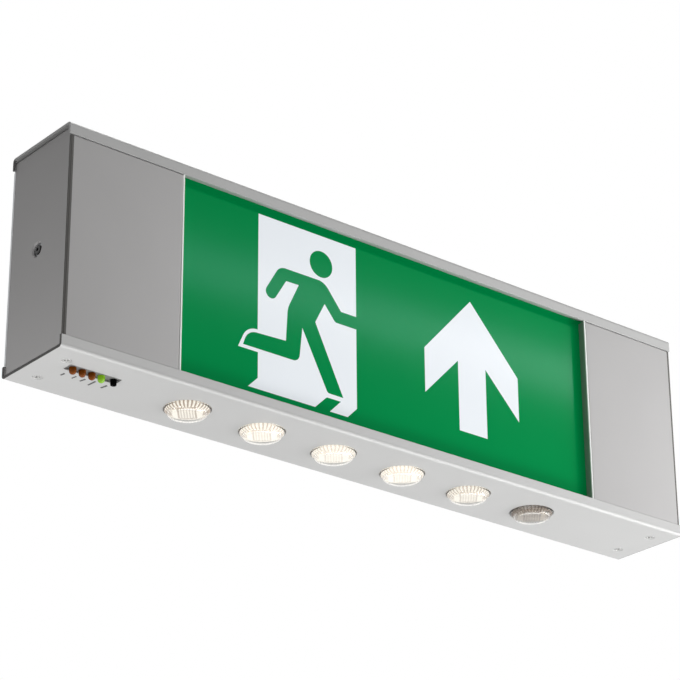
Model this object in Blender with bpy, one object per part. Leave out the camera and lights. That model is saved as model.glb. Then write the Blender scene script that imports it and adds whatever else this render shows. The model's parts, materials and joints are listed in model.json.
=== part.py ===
"""Emergency exit light for a wall: an extruded aluminium body with a lit sign in front,
a row of six escape-route lenses below, and a battery, control gear and test button.

Metres, +Z up. The origin is the middle of the face that meets the wall, +X runs along the
light to the right of someone who reads the sign, and +Y points into the wall.
"""

import math

import bmesh
import bpy
from mathutils import Matrix, Vector
from mathutils.geometry import interpolate_bezier

# Driving sizes of the body
LENGTH = 0.580
HEIGHT = 0.1675
DEPTH = 0.0715

# Clearances that all pieces share
FIT = 0.0003
OVERRUN = 0.002

# Facets of round work
ARC_STEPS = 5
EDGE_STEPS = 3
HOLE_SIDES = 32
SMALL_SIDES = 16
SMOOTH_ANGLE = math.radians(32)

# Rails: U-channel extrusions above and below
RAIL_WALL = 0.0020
TOP_FLANGE = 0.0094
BOTTOM_FLANGE = 0.0090
RAIL_ROUND = 0.0026
RAIL_OVERHANG = 0.0014
RIB_WALL = 0.0015
RIB_HEIGHT = 0.0048
RIB_MARGIN = 0.0060

# End plates: folded sheet with a tab under each rail
END_WALL = 0.0020
END_BEND = 0.0025
TAB_WIDTH = 0.0440
TAB_MARGIN = 0.0036
ACCESS_RADIUS = 0.0050
ACCESS_CHAMFER = 0.0010
ACCESS_FROM_FRONT = 0.0375
ACCESS_ABOVE_MIDDLE = 0.0013

# Blank panels beside the sign, and the back plate
PANEL_WALL = 0.0020
PANEL_ROUND = 0.0017
PANEL_GROOVE = 0.0004
LIP_WALL = 0.0015
LIP_REACH = 0.0030
RETURN_WALL = 0.0015
BLANK_WIDTH = 0.0950

# Sign pane, light guide, reflector and their row of LEDs
PANE_RECESS = 0.0078
PANE_WALL = 0.0020
PANE_OVERLAP = 0.0080
GUIDE_WALL = 0.0030
REFLECTOR_WALL = 0.0008
STRIP_WALL = 0.0010
STRIP_CHIP = 0.0008
STRIP_CHIP_LENGTH = 0.0035
STRIP_CHIPS = 12

# Lenses, their LED boards and the bar that carries them
LENS_COUNT = 6
LENS_INSET = 0.0325
LENS_RADIUS = 0.0167
LENS_TAPER = 0.0022
LENS_ROUND = 0.0030
LENS_PROTRUSION = 0.0052
LENS_RISE = 0.0085
LENS_WALL = 0.0020
LENS_FLUTES = 16
FLUTE_DEPTH = 0.0005
COLLAR_HEIGHT = 0.0006
LENS_ROW_CLEARANCE = 0.0040
EAR_REACH = 0.0030
EAR_WIDTH = 0.0080
EAR_WALL = 0.0015
PRISM_LENGTH = 0.0120
PRISM_WIDTH = 0.0060
PRISM_RISE = 0.0018
EMITTER_RADIUS = 0.0030
EMITTER_DROP = 0.0024
BOARD_WALL = 0.0016
CARRIER_WALL = 0.0020
CARRIER_WIDTH = 0.0300
CARRIER_MARGIN = 0.0020
CARRIER_FOOT = 0.0100
CARRIER_BEND = 0.0026

# Countersunk screws that hold each rail to the end plates
SCREW_INSET = 0.0152
SCREW_ROW = 0.0350
SCREW_RADIUS = 0.0020
SCREW_HEAD_RADIUS = 0.0037
SCREW_HEAD_DEPTH = 0.0014
SCREW_LENGTH = 0.0085
SOCKET_RADIUS = 0.0013
SOCKET_DEPTH = 0.0010

# Slot with the indicator lamps and the test button
SLOT_FROM_FRONT = 0.0257
SLOT_WIDTH = 0.0092
SLOT_ROUND = 0.0010
SLOT_HEAD = 0.0053
SLOT_TAIL = 0.0036
BEZEL_WALL = 0.0012
BEZEL_POST = 0.0020
BEZEL_HEIGHT = 0.0067
BEZEL_LEFT_LAP = 0.0012
BEZEL_RIGHT_LAP = 0.0030
BEZEL_SIDE_LAP = 0.0025
BEZEL_GAP = 0.0005
BEZEL_SINK = 0.0003
BEZEL_RIM = 0.0005
BEZEL_RECESS = 0.0005
INDICATOR_PITCH = 0.00762
INDICATOR_RADIUS = 0.0025
INDICATOR_FLANGE_RADIUS = 0.0029
INDICATOR_FLANGE = 0.0010
INDICATOR_REACH = 0.0079
INDICATOR_OFFSET = 0.0008
INDICATOR_CLEARANCE = 0.0002
AMBER_COUNT = 3
PIN_WALL = 0.0005
PIN_PITCH = 0.00254

# Test button and the switch that it presses
BUTTON_PITCH = 0.0099
BUTTON_RADIUS = 0.0022
BUTTON_PROTRUSION = 0.0033
BUTTON_ROUND = 0.0005
BUTTON_FLANGE_RADIUS = 0.0030
BUTTON_FLANGE = 0.0008
BUTTON_TRAVEL = 0.0008
SWITCH_SIZE = 0.0060
SWITCH_CLEARANCE = 0.0004

# Gear tray with the battery, control gear and terminals
TRAY_WALL = 0.0012
TRAY_BEND = 0.0020
TRAY_CLEARANCE = 0.0043
TRAY_LOCK_MARGIN = 0.0119
LOCK_HEAD_RADIUS = 0.0034
LOCK_HEAD = 0.0018
LOCK_ROUND = 0.0006
LOCK_RADIUS = 0.0020
LOCK_LENGTH = 0.0070
BATTERY_CELLS = 5
CELL_LENGTH = 0.0500
CELL_RADIUS = 0.0130
CELL_ROUND = 0.0015
CELL_NECK = 0.0010
BATTERY_OFFSET = 0.0950
BATTERY_GAP = 0.0060
CLIP_WALL = 0.0010
CLIP_WIDTH = 0.0120
CLIP_FOOT = 0.0180
CLIP_SPACING = 0.1500
CLIP_GAP = math.radians(100)
GEAR_LENGTH = 0.2000
GEAR_HEIGHT = 0.0380
GEAR_DEPTH = 0.0300
GEAR_ROUND = 0.0030
GEAR_OFFSET = -0.0600
GEAR_RISE = 0.0080
TERMINAL_POLES = 5
TERMINAL_PITCH = 0.0095
TERMINAL_HEIGHT = 0.0200
TERMINAL_DEPTH = 0.0180
TERMINAL_SCREW_RADIUS = 0.0018
TERMINAL_SCREW_DEPTH = 0.0060
TERMINAL_INSET = 0.0300

# Leads between the gear, the battery, the terminals and the lamps
LEAD_RADIUS = 0.0008
LEAD_BEND = 0.0100
LEAD_SETBACK = 0.0080
LEAD_RISE = 0.0250
LEAD_RUN = 0.0500
LEAD_POINTS = 10

# Cable entry and keyholes of the back plate
FIXING_ZONE = 0.0370
FIXING_MARGIN = 0.0010
KEYHOLE_SPACING = 0.4000
KEYHOLE_RADIUS = 0.0052
KEYHOLE_SLOT = 0.0050
KEYHOLE_RISE = 0.0075
GROMMET_RADIUS = 0.0100
GROMMET_LIP = 0.0030
GROMMET_WALL = 0.0015
GROMMET_CONE = 0.0060
MEMBRANE = 0.0010

# Places that follow from the sizes above
FRONT = -DEPTH
TOP = HEIGHT / 2
BOTTOM = -HEIGHT / 2
FLOOR_INSIDE = BOTTOM + RAIL_WALL
ROOF_INSIDE = TOP - RAIL_WALL
PLATE_FACE = LENGTH / 2 - RAIL_OVERHANG
PLATE_BACK = PLATE_FACE - END_WALL
OPENING_EDGE = LENGTH / 2 - BLANK_WIDTH

PANE_FRONT = FRONT + PANE_RECESS
PANE_BACK = PANE_FRONT + PANE_WALL
GUIDE_FRONT = PANE_BACK + FIT
GUIDE_BACK = GUIDE_FRONT + GUIDE_WALL
REFLECTOR_FRONT = GUIDE_BACK + FIT
REFLECTOR_BACK = REFLECTOR_FRONT + REFLECTOR_WALL
PANE_HALF = OPENING_EDGE + PANE_OVERLAP
RIB_HALF = PANE_HALF + RIB_MARGIN

LENS_HOLE = LENS_RADIUS + FIT
LENS_LINE = REFLECTOR_BACK + LENS_ROW_CLEARANCE + LENS_HOLE
LENS_SPAN = 2 * (OPENING_EDGE - LENS_INSET)
LENS_PITCH = LENS_SPAN / (LENS_COUNT - 1)
BOARD_BOTTOM = BOTTOM + LENS_RISE + FIT
CARRIER_BOTTOM = BOARD_BOTTOM + BOARD_WALL + FIT
CARRIER_TOP = CARRIER_BOTTOM + CARRIER_WALL

TAB_REACH = SCREW_INSET + TAB_MARGIN
SCREW_X = PLATE_FACE - SCREW_INSET
BEZEL_LEFT = -PLATE_FACE + TAB_REACH + FIT
SLOT_LEFT = BEZEL_LEFT + BEZEL_LEFT_LAP
FIRST_LAMP = SLOT_LEFT + SLOT_HEAD
GREEN_LAMP = FIRST_LAMP + INDICATOR_PITCH * AMBER_COUNT
BUTTON_X = GREEN_LAMP + BUTTON_PITCH
SLOT_RIGHT = BUTTON_X + SLOT_TAIL
SLOT_LINE = FRONT + SLOT_FROM_FRONT
LAMP_LINE = SLOT_LINE + INDICATOR_OFFSET
BEZEL_RIGHT = SLOT_RIGHT + BEZEL_RIGHT_LAP
BEZEL_BOTTOM = FLOOR_INSIDE + FIT
LAMP_SEAT = BEZEL_BOTTOM + BEZEL_WALL + FIT
LAMP_BOARD_BOTTOM = BEZEL_BOTTOM + BEZEL_HEIGHT + FIT

TRAY_BACK = -(PANEL_WALL + FIT)
TRAY_FRONT = TRAY_BACK - TRAY_WALL
TRAY_SEAT = TRAY_FRONT - FIT
TRAY_BOTTOM = CARRIER_TOP + TRAY_CLEARANCE
TRAY_TOP = ROOF_INSIDE - FIXING_ZONE
TRAY_END = PLATE_BACK - FIT
ACCESS_Y = FRONT + ACCESS_FROM_FRONT
GEAR_BOTTOM = TRAY_BOTTOM + GEAR_RISE
GEAR_TOP = GEAR_BOTTOM + GEAR_HEIGHT
GEAR_FRONT = TRAY_SEAT - GEAR_DEPTH
GEAR_LEFT = GEAR_OFFSET - GEAR_LENGTH / 2
TERMINAL_X = GEAR_LEFT + TERMINAL_INSET
CLIP_RADIUS = CELL_RADIUS + FIT + CLIP_WALL
BATTERY_AXIS = TRAY_SEAT - CLIP_RADIUS
BATTERY_LINE = GEAR_TOP + BATTERY_GAP + CLIP_RADIUS
BATTERY_LEFT = BATTERY_OFFSET - BATTERY_CELLS * CELL_LENGTH / 2
STRIP_TOP = ROOF_INSIDE - FIT
STRIP_MIDDLE = STRIP_TOP - STRIP_WALL / 2
FIXING_LINE = TRAY_TOP + FIXING_MARGIN + GROMMET_RADIUS + GROMMET_LIP


def clear_scene():
    """Empty the scene."""
    for old in list(bpy.data.objects):
        bpy.data.objects.remove(old, do_unlink=True)


def finish(name, colour, roughness, metallic=0.0):
    """Principled material of one piece."""
    material = bpy.data.materials.new(name)
    material.use_nodes = True
    shader = material.node_tree.nodes["Principled BSDF"]
    shader.inputs["Base Color"].default_value = (*colour, 1.0)
    shader.inputs["Roughness"].default_value = roughness
    shader.inputs["Metallic"].default_value = metallic
    return material


# Finishes: linear colour, roughness and metallic value
SATIN_ALUMINIUM = ((0.50, 0.50, 0.49), 0.42, 0.85)
MILL_ALUMINIUM = ((0.62, 0.62, 0.62), 0.35, 1.0)
ZINC_STEEL = ((0.45, 0.46, 0.47), 0.40, 1.0)
BLACK_STEEL = ((0.03, 0.03, 0.03), 0.45, 0.8)
SIGN_GREEN = ((0.0, 0.19, 0.055), 0.15, 0.0)
CLEAR_PLASTIC = ((0.85, 0.85, 0.80), 0.08, 0.0)
WHITE_SHEET = ((0.85, 0.85, 0.85), 0.45, 0.0)
WHITE_BOARD = ((0.80, 0.80, 0.78), 0.40, 0.0)
GREEN_BOARD = ((0.02, 0.16, 0.06), 0.35, 0.0)
GREY_PLASTIC = ((0.16, 0.16, 0.16), 0.50, 0.0)
AMBER_PLASTIC = ((0.35, 0.10, 0.02), 0.12, 0.0)
LIT_GREEN_PLASTIC = ((0.25, 0.60, 0.06), 0.12, 0.0)
BLACK_PLASTIC = ((0.01, 0.01, 0.01), 0.35, 0.0)
PACK_BLUE = ((0.04, 0.09, 0.30), 0.30, 0.0)
PALE_PLASTIC = ((0.72, 0.71, 0.66), 0.45, 0.0)
BLACK_RUBBER = ((0.02, 0.02, 0.02), 0.70, 0.0)
LEAD_GREY = ((0.30, 0.30, 0.30), 0.55, 0.0)


def rounded_outline(corners):
    """Closed outline of (a, b, radius) corners, with an arc at each round one."""
    points = []
    for index, (a, b, radius) in enumerate(corners):
        here = Vector((a, b))
        if radius <= 0:
            points.append(here)
            continue
        behind = (Vector(corners[index - 1][:2]) - here).normalized()
        ahead = (Vector(corners[(index + 1) % len(corners)][:2]) - here).normalized()
        half_angle = behind.angle(ahead) / 2
        centre = here + (behind + ahead).normalized() * radius / math.sin(half_angle)
        reach = radius / math.tan(half_angle)
        start = here + behind * reach - centre
        end = here + ahead * reach - centre
        first = math.atan2(start.y, start.x)
        sweep = math.remainder(math.atan2(end.y, end.x) - first, math.tau)
        for step in range(ARC_STEPS + 1):
            angle = first + sweep * step / ARC_STEPS
            points.append(centre + Vector((math.cos(angle), math.sin(angle))) * radius)
    return points


def prism(outline, axis, start, end):
    """Solid of an outline that runs from start to end along X, Y or Z."""
    places = {
        "X": lambda point: (start, point[0], point[1]),
        "Y": lambda point: (point[0], start, point[1]),
        "Z": lambda point: (point[0], point[1], start),
    }
    directions = {"X": Vector((1, 0, 0)), "Y": Vector((0, 1, 0)), "Z": Vector((0, 0, 1))}
    solid = bmesh.new()
    face = solid.faces.new([solid.verts.new(places[axis](point)) for point in outline])
    raised = bmesh.ops.extrude_face_region(solid, geom=[face])
    moved = [item for item in raised["geom"] if isinstance(item, bmesh.types.BMVert)]
    bmesh.ops.translate(solid, verts=moved, vec=directions[axis] * (end - start))
    bmesh.ops.recalc_face_normals(solid, faces=solid.faces)
    return solid


def block(x_span, y_span, z_span):
    """Box between the two ends given for each axis."""
    (left, right), (low, high) = sorted(x_span), sorted(z_span)
    corners = [(left, low, 0), (right, low, 0), (right, high, 0), (left, high, 0)]
    return prism(rounded_outline(corners), "Y", min(y_span), max(y_span))


def turned(profile, sides=HOLE_SIDES):
    """Solid of a profile of (radius, height) points, turned round Z."""
    solid = bmesh.new()
    points = [solid.verts.new((radius, 0, height)) for radius, height in profile]
    edges = [solid.edges.new(pair) for pair in zip(points, points[1:])]
    bmesh.ops.spin(
        solid, geom=points + edges, cent=(0, 0, 0), axis=(0, 0, 1),
        angle=math.tau, steps=sides, use_duplicate=False,
    )
    bmesh.ops.remove_doubles(solid, verts=solid.verts, dist=FIT / 100)
    bmesh.ops.recalc_face_normals(solid, faces=solid.faces)
    return solid


def arc(centre, radius, start, end, steps=ARC_STEPS):
    """Points of an arc between two angles in degrees."""
    turns = [math.radians(start + (end - start) * step / steps) for step in range(steps + 1)]
    return [(centre[0] + radius * math.cos(turn), centre[1] + radius * math.sin(turn)) for turn in turns]


def bar(radius, start, end, sides=HOLE_SIDES):
    """Round bar along Z."""
    return turned([(0, start), (radius, start), (radius, end), (0, end)], sides)


def moved(solid, offset=(0, 0, 0), turn=None):
    """The same solid, turned and then moved."""
    if turn:
        bmesh.ops.rotate(solid, verts=solid.verts, cent=(0, 0, 0), matrix=turn)
    bmesh.ops.translate(solid, verts=solid.verts, vec=offset)
    return solid


def group(solids):
    """One mesh of several solids that lie apart, for a cutter or a set of studs."""
    whole = bmesh.new()
    for solid in solids:
        mesh = bpy.data.meshes.new("part_of_group")
        solid.to_mesh(mesh)
        solid.free()
        whole.from_mesh(mesh)
        bpy.data.meshes.remove(mesh)
    return whole


def shape(base, joins=(), cuts=()):
    """Mesh of the base with the joins added and the cuts taken away."""
    def temporary(solid):
        mesh = bpy.data.meshes.new("stage")
        solid.to_mesh(mesh)
        solid.free()
        stage = bpy.data.objects.new("stage", mesh)
        bpy.context.scene.collection.objects.link(stage)
        return stage

    body = temporary(base)
    tools = []
    for operation, solids in (("UNION", joins), ("DIFFERENCE", cuts)):
        for solid in solids:
            tool = temporary(solid)
            step = body.modifiers.new(operation.lower(), "BOOLEAN")
            step.operation = operation
            step.solver = "EXACT"
            step.object = tool
            tools.append(tool)
    whole = body.evaluated_get(bpy.context.evaluated_depsgraph_get())
    mesh = bpy.data.meshes.new_from_object(whole)
    for stage in (body, *tools):
        bpy.data.objects.remove(stage, do_unlink=True)
    mesh.shade_smooth()
    mesh.set_sharp_from_angle(angle=SMOOTH_ANGLE)
    return mesh


def piece(name, mesh, look, location=(0, 0, 0), rotation=(0, 0, 0)):
    """Named object of one physical piece, with its own material."""
    own_mesh = mesh.copy()
    own_mesh.name = name
    own_mesh.materials.clear()
    own_mesh.materials.append(finish(name + "_finish", *look))
    made = bpy.data.objects.new(name, own_mesh)
    made.location = location
    made.rotation_euler = rotation
    bpy.context.scene.collection.objects.link(made)
    return made


# Rails and their screws
def rail_outline(outer, flange, upward):
    """U section: web on the outer side, a flange in front and one behind."""
    tip = outer + upward * flange
    inner = outer + upward * RAIL_WALL
    bend = max(RAIL_ROUND - RAIL_WALL, FIT)
    return rounded_outline([
        (FRONT, tip, FIT),
        (FRONT, outer, RAIL_ROUND),
        (0, outer, RAIL_ROUND),
        (0, tip, FIT),
        (-RAIL_WALL, tip, 0),
        (-RAIL_WALL, inner, bend),
        (FRONT + RAIL_WALL, inner, bend),
        (FRONT + RAIL_WALL, tip, 0),
    ])


def pane_rib(outer, upward, front):
    """Rib on the web that keeps the sign pane in line, milled back at both ends."""
    root = outer + upward * RAIL_WALL / 2
    tip = outer + upward * (RAIL_WALL + RIB_HEIGHT)
    return block((-RIB_HALF, RIB_HALF), (front, front + RIB_WALL), (root, tip))


def screw_places():
    """X and Y of the screws of one rail."""
    middle = FRONT / 2
    return [
        (side * SCREW_X, middle + row * SCREW_ROW / 2)
        for side in (-1, 1)
        for row in (-1, 1)
    ]


def screw_seat(upward):
    """Cutter of a countersunk hole whose head lies at height 0, for one rail."""
    wide = SCREW_HEAD_RADIUS + FIT
    narrow = SCREW_RADIUS + FIT
    seat = turned([
        (0, -OVERRUN),
        (wide, -OVERRUN),
        (wide, 0),
        (narrow, SCREW_HEAD_DEPTH),
        (narrow, RAIL_WALL + OVERRUN),
        (0, RAIL_WALL + OVERRUN),
    ], SMALL_SIDES)
    if upward < 0:
        moved(seat, turn=Matrix.Rotation(math.pi, 3, "X"))
    return seat


def slot_outline(inset=0):
    """Round-cornered outline of the indicator slot, or one set in from it on all sides."""
    half = SLOT_WIDTH / 2 - inset
    left, right = SLOT_LEFT + inset, SLOT_RIGHT - inset
    bend = max(SLOT_ROUND - inset, FIT)
    return rounded_outline([
        (left, SLOT_LINE - half, bend),
        (right, SLOT_LINE - half, bend),
        (right, SLOT_LINE + half, bend),
        (left, SLOT_LINE + half, bend),
    ])


def lens_places():
    """X of each lens along the row."""
    return [LENS_PITCH * index - LENS_SPAN / 2 for index in range(LENS_COUNT)]


def build_rails():
    """Top and bottom rail, with lens holes and the slot in the bottom one."""
    front_rib = PANE_FRONT - FIT - RIB_WALL
    back_rib = REFLECTOR_BACK + FIT
    half = LENGTH / 2
    top_seats = group([moved(screw_seat(-1), (x, y, TOP)) for x, y in screw_places()])
    top = shape(
        prism(rail_outline(TOP, TOP_FLANGE, -1), "X", -half, half),
        joins=[pane_rib(TOP, -1, front_rib), pane_rib(TOP, -1, back_rib)],
        cuts=[top_seats],
    )
    piece("top_rail", top, SATIN_ALUMINIUM)

    holes = [
        moved(bar(LENS_HOLE, -OVERRUN, RAIL_WALL + OVERRUN), (x, LENS_LINE, BOTTOM))
        for x in lens_places()
    ]
    seats = [moved(screw_seat(1), (x, y, BOTTOM)) for x, y in screw_places()]
    slot = prism(slot_outline(), "Z", BOTTOM - OVERRUN, FLOOR_INSIDE + OVERRUN)
    bottom = shape(
        prism(rail_outline(BOTTOM, BOTTOM_FLANGE, 1), "X", -half, half),
        joins=[pane_rib(BOTTOM, 1, front_rib)],
        cuts=[group([*holes, *seats, slot])],
    )
    piece("bottom_rail", bottom, SATIN_ALUMINIUM)


def build_rail_screws():
    """Countersunk socket screws, four up into the bottom rail and four down into the top."""
    screw = shape(turned([
        (0, SOCKET_DEPTH),
        (SOCKET_RADIUS, SOCKET_DEPTH),
        (SOCKET_RADIUS, 0),
        (SCREW_HEAD_RADIUS, 0),
        (SCREW_RADIUS, SCREW_HEAD_DEPTH),
        (SCREW_RADIUS, SCREW_LENGTH),
        (0, SCREW_LENGTH),
    ], SMALL_SIDES))
    for number, (x, y) in enumerate(screw_places(), start=1):
        piece(f"bottom_screw_{number}", screw, ZINC_STEEL, (x, y, BOTTOM))
        piece(f"top_screw_{number}", screw, ZINC_STEEL, (x, y, TOP), (math.pi, 0, 0))


# End plates, blank panels and back plate
def build_end_plates():
    """Folded end plates between the rails, each with two tabs and an access hole."""
    low = FLOOR_INSIDE + FIT
    high = ROOF_INSIDE - FIT
    inner_bend = max(END_BEND - END_WALL, FIT)
    relief = END_WALL + inner_bend
    front_edge = FRONT + PANEL_WALL + FIT
    back_edge = -(PANEL_WALL + FIT)
    tab_front = FRONT / 2 - TAB_WIDTH / 2
    tab_back = FRONT / 2 + TAB_WIDTH / 2
    for name, side in (("left_end_plate", -1), ("right_end_plate", 1)):
        face = side * PLATE_FACE

        def inward(distance):
            return face - side * distance

        section = rounded_outline([
            (inward(TAB_REACH), low, 0),
            (inward(0), low, END_BEND),
            (inward(0), high, END_BEND),
            (inward(TAB_REACH), high, 0),
            (inward(TAB_REACH), high - END_WALL, 0),
            (inward(END_WALL), high - END_WALL, inner_bend),
            (inward(END_WALL), low + END_WALL, inner_bend),
            (inward(TAB_REACH), low + END_WALL, 0),
        ])
        reliefs = [
            block(
                (inward(relief), inward(TAB_REACH + OVERRUN)),
                (y_start, y_end),
                (z_start, z_end),
            )
            for y_start, y_end in ((front_edge - OVERRUN, tab_front), (tab_back, back_edge + OVERRUN))
            for z_start, z_end in ((low - OVERRUN, low + relief), (high - relief, high + OVERRUN))
        ]
        wide = ACCESS_RADIUS + ACCESS_CHAMFER
        access = turned([
            (0, -OVERRUN),
            (wide, -OVERRUN),
            (wide, 0),
            (ACCESS_RADIUS, ACCESS_CHAMFER),
            (ACCESS_RADIUS, END_WALL + OVERRUN),
            (0, END_WALL + OVERRUN),
        ])
        turn = Matrix.Rotation(-side * math.pi / 2, 3, "Y")
        moved(access, (face, ACCESS_Y, ACCESS_ABOVE_MIDDLE), turn)
        holes = [
            moved(bar(SCREW_RADIUS + FIT, low - OVERRUN, high + OVERRUN, SMALL_SIDES), (x, y, 0))
            for x, y in screw_places()
            if x * side > 0
        ]
        plate = shape(prism(section, "Y", front_edge, back_edge), cuts=[group(reliefs), access, group(holes)])
        piece(name, plate, SATIN_ALUMINIUM)


def rabbeted_panel(x_span, z_span, outer, inward, lip_span):
    """Panel flush with the rail flanges, with a lip behind each of them."""
    low, high = z_span
    root = outer + inward * PANEL_WALL / 2
    lip_outer = outer + inward * (RAIL_WALL + FIT)
    lip_inner = lip_outer + inward * LIP_WALL
    face = rounded_outline([
        (outer, low, FIT),
        (outer, high, PANEL_ROUND),
        (outer + inward * PANEL_WALL, high, 0),
        (outer + inward * PANEL_WALL, low, 0),
    ])
    lips = []
    for edge, outward in ((low, -1), (high, 1)):
        lip = rounded_outline([
            (root, edge, 0),
            (lip_outer, edge, 0),
            (lip_outer, edge + outward * LIP_REACH, 0),
            (lip_inner, edge + outward * LIP_REACH, 0),
            (lip_inner, edge - outward * PANEL_WALL, 0),
            (root, edge - outward * PANEL_WALL, 0),
        ])
        lips.append(prism(lip, "X", *lip_span))
    return prism(face, "X", *x_span), group(lips)


def build_blank_panels():
    """Blank panels left and right of the sign, each with a return wall down to the pane."""
    low = BOTTOM + BOTTOM_FLANGE + FIT
    high = TOP - TOP_FLANGE - PANEL_GROOVE
    return_low = FLOOR_INSIDE + RIB_HEIGHT + FIT
    return_high = ROOF_INSIDE - RIB_HEIGHT - FIT
    for name, side in (("left_blank_panel", -1), ("right_blank_panel", 1)):
        span = sorted((side * PLATE_FACE, side * OPENING_EDGE))
        lip_span = sorted((side * (PLATE_BACK - FIT), side * OPENING_EDGE))
        face, lips = rabbeted_panel(span, (low, high), FRONT, 1, lip_span)
        wall = block(
            (side * OPENING_EDGE, side * (OPENING_EDGE + RETURN_WALL)),
            (FRONT + PANEL_WALL / 2, PANE_FRONT - FIT),
            (low, high),
        )
        ends = [
            block(
                (side * OPENING_EDGE, side * (OPENING_EDGE + RETURN_WALL)),
                (FRONT + RAIL_WALL + FIT, PANE_FRONT - FIT),
                span_z,
            )
            for span_z in ((return_low, low + PANEL_WALL), (high - PANEL_WALL, return_high))
        ]
        piece(name, shape(face, joins=[lips, wall, *ends]), SATIN_ALUMINIUM)


def keyhole(x):
    """Cutter of one keyhole: a round hole for the screw head and a slot above it."""
    start, end = -(PANEL_WALL + OVERRUN), OVERRUN
    half = KEYHOLE_SLOT / 2
    top = FIXING_LINE + KEYHOLE_RISE
    reach = math.asin(half / KEYHOLE_RADIUS)
    turn = math.degrees(reach)
    rim = arc((x, FIXING_LINE), KEYHOLE_RADIUS, 90 + turn, 450 - turn, SMALL_SIDES)
    slot_end = arc((x, top), half, 0, 180)
    return prism([*rim, *slot_end], "Y", start, end)


def build_back_plate():
    """Back plate with two keyholes and the cable entry, and its membrane grommet."""
    low = BOTTOM + BOTTOM_FLANGE + FIT
    high = TOP - TOP_FLANGE - FIT
    lip_half = PLATE_BACK - FIT
    face, lips = rabbeted_panel(
        (-PLATE_FACE, PLATE_FACE), (low, high), 0, -1, (-lip_half, lip_half)
    )
    facing_wall = Matrix.Rotation(math.pi / 2, 3, "X")
    entry = bar(GROMMET_RADIUS, -OVERRUN, PANEL_WALL + OVERRUN)
    moved(entry, (0, 0, FIXING_LINE), facing_wall)
    keyholes = [keyhole(side * KEYHOLE_SPACING / 2) for side in (-1, 1)]
    piece("back_plate", shape(face, joins=[lips], cuts=[group([entry, *keyholes])]), ZINC_STEEL)

    plug = GROMMET_RADIUS - FIT
    rim_end = PANEL_WALL + FIT + GROMMET_WALL
    cone_tip = GROMMET_CONE / 4
    grommet = turned([
        (0, rim_end - GROMMET_WALL + GROMMET_CONE - MEMBRANE),
        (cone_tip, rim_end - GROMMET_WALL + GROMMET_CONE - MEMBRANE),
        (plug - GROMMET_WALL, rim_end - GROMMET_WALL - MEMBRANE),
        (plug - GROMMET_WALL, FIT),
        (plug, FIT),
        (plug, PANEL_WALL + FIT),
        (GROMMET_RADIUS + GROMMET_LIP, PANEL_WALL + FIT),
        (GROMMET_RADIUS + GROMMET_LIP, rim_end),
        (plug - GROMMET_WALL, rim_end),
        (cone_tip + MEMBRANE, rim_end + GROMMET_CONE - MEMBRANE),
        (0, rim_end + GROMMET_CONE - MEMBRANE),
    ])
    piece(
        "cable_grommet", shape(grommet), BLACK_RUBBER,
        (0, 0, FIXING_LINE), (math.pi / 2, 0, 0),
    )


# Sign pane and what lights it from behind
def build_sign():
    """Sign pane, light guide, reflector sheet and the LED strip above the guide."""
    floor = FLOOR_INSIDE + FIT
    chip_bottom = STRIP_TOP - STRIP_WALL - STRIP_CHIP
    guide_top = chip_bottom - FIT
    span = (-PANE_HALF, PANE_HALF)
    pane = block(span, (PANE_FRONT, PANE_BACK), (floor, ROOF_INSIDE - FIT))
    guide = block(span, (GUIDE_FRONT, GUIDE_BACK), (floor, guide_top))
    reflector = block(span, (REFLECTOR_FRONT, REFLECTOR_BACK), (floor, guide_top))
    piece("sign_pane", shape(pane), SIGN_GREEN)
    piece("light_guide", shape(guide), CLEAR_PLASTIC)
    piece("reflector_sheet", shape(reflector), WHITE_SHEET)

    pitch = 2 * PANE_HALF / STRIP_CHIPS
    chips = [
        block(
            (x - STRIP_CHIP_LENGTH / 2, x + STRIP_CHIP_LENGTH / 2),
            (GUIDE_FRONT, GUIDE_BACK),
            (chip_bottom, STRIP_MIDDLE),
        )
        for x in [pitch * (number + 1 / 2) - PANE_HALF for number in range(STRIP_CHIPS)]
    ]
    strip = block(span, (GUIDE_FRONT, REFLECTOR_BACK), (STRIP_TOP - STRIP_WALL, STRIP_TOP))
    piece("sign_led_strip", shape(strip, joins=[group(chips)]), WHITE_BOARD)


# Lenses, LED boards and carrier bar
def lofted(rings):
    """Solid through rings of equal point counts, with a flat face on the first and the last."""
    solid = bmesh.new()
    loops = [[solid.verts.new(point) for point in ring] for ring in rings]
    for lower, upper in zip(loops, loops[1:]):
        for index, corner in enumerate(lower):
            solid.faces.new((lower[index - 1], corner, upper[index], upper[index - 1]))
    solid.faces.new(loops[0])
    solid.faces.new(loops[-1])
    bmesh.ops.recalc_face_normals(solid, faces=solid.faces)
    return solid


def lens_ring(radius, height, flute_depth=0):
    """Ring of points at one height of a lens, every second one set in by the flute depth."""
    count = 2 * LENS_FLUTES
    points = []
    for index in range(count):
        reach = radius - flute_depth * (index % 2)
        turn = math.tau * index / count
        points.append((reach * math.cos(turn), reach * math.sin(turn), height))
    return points


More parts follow.
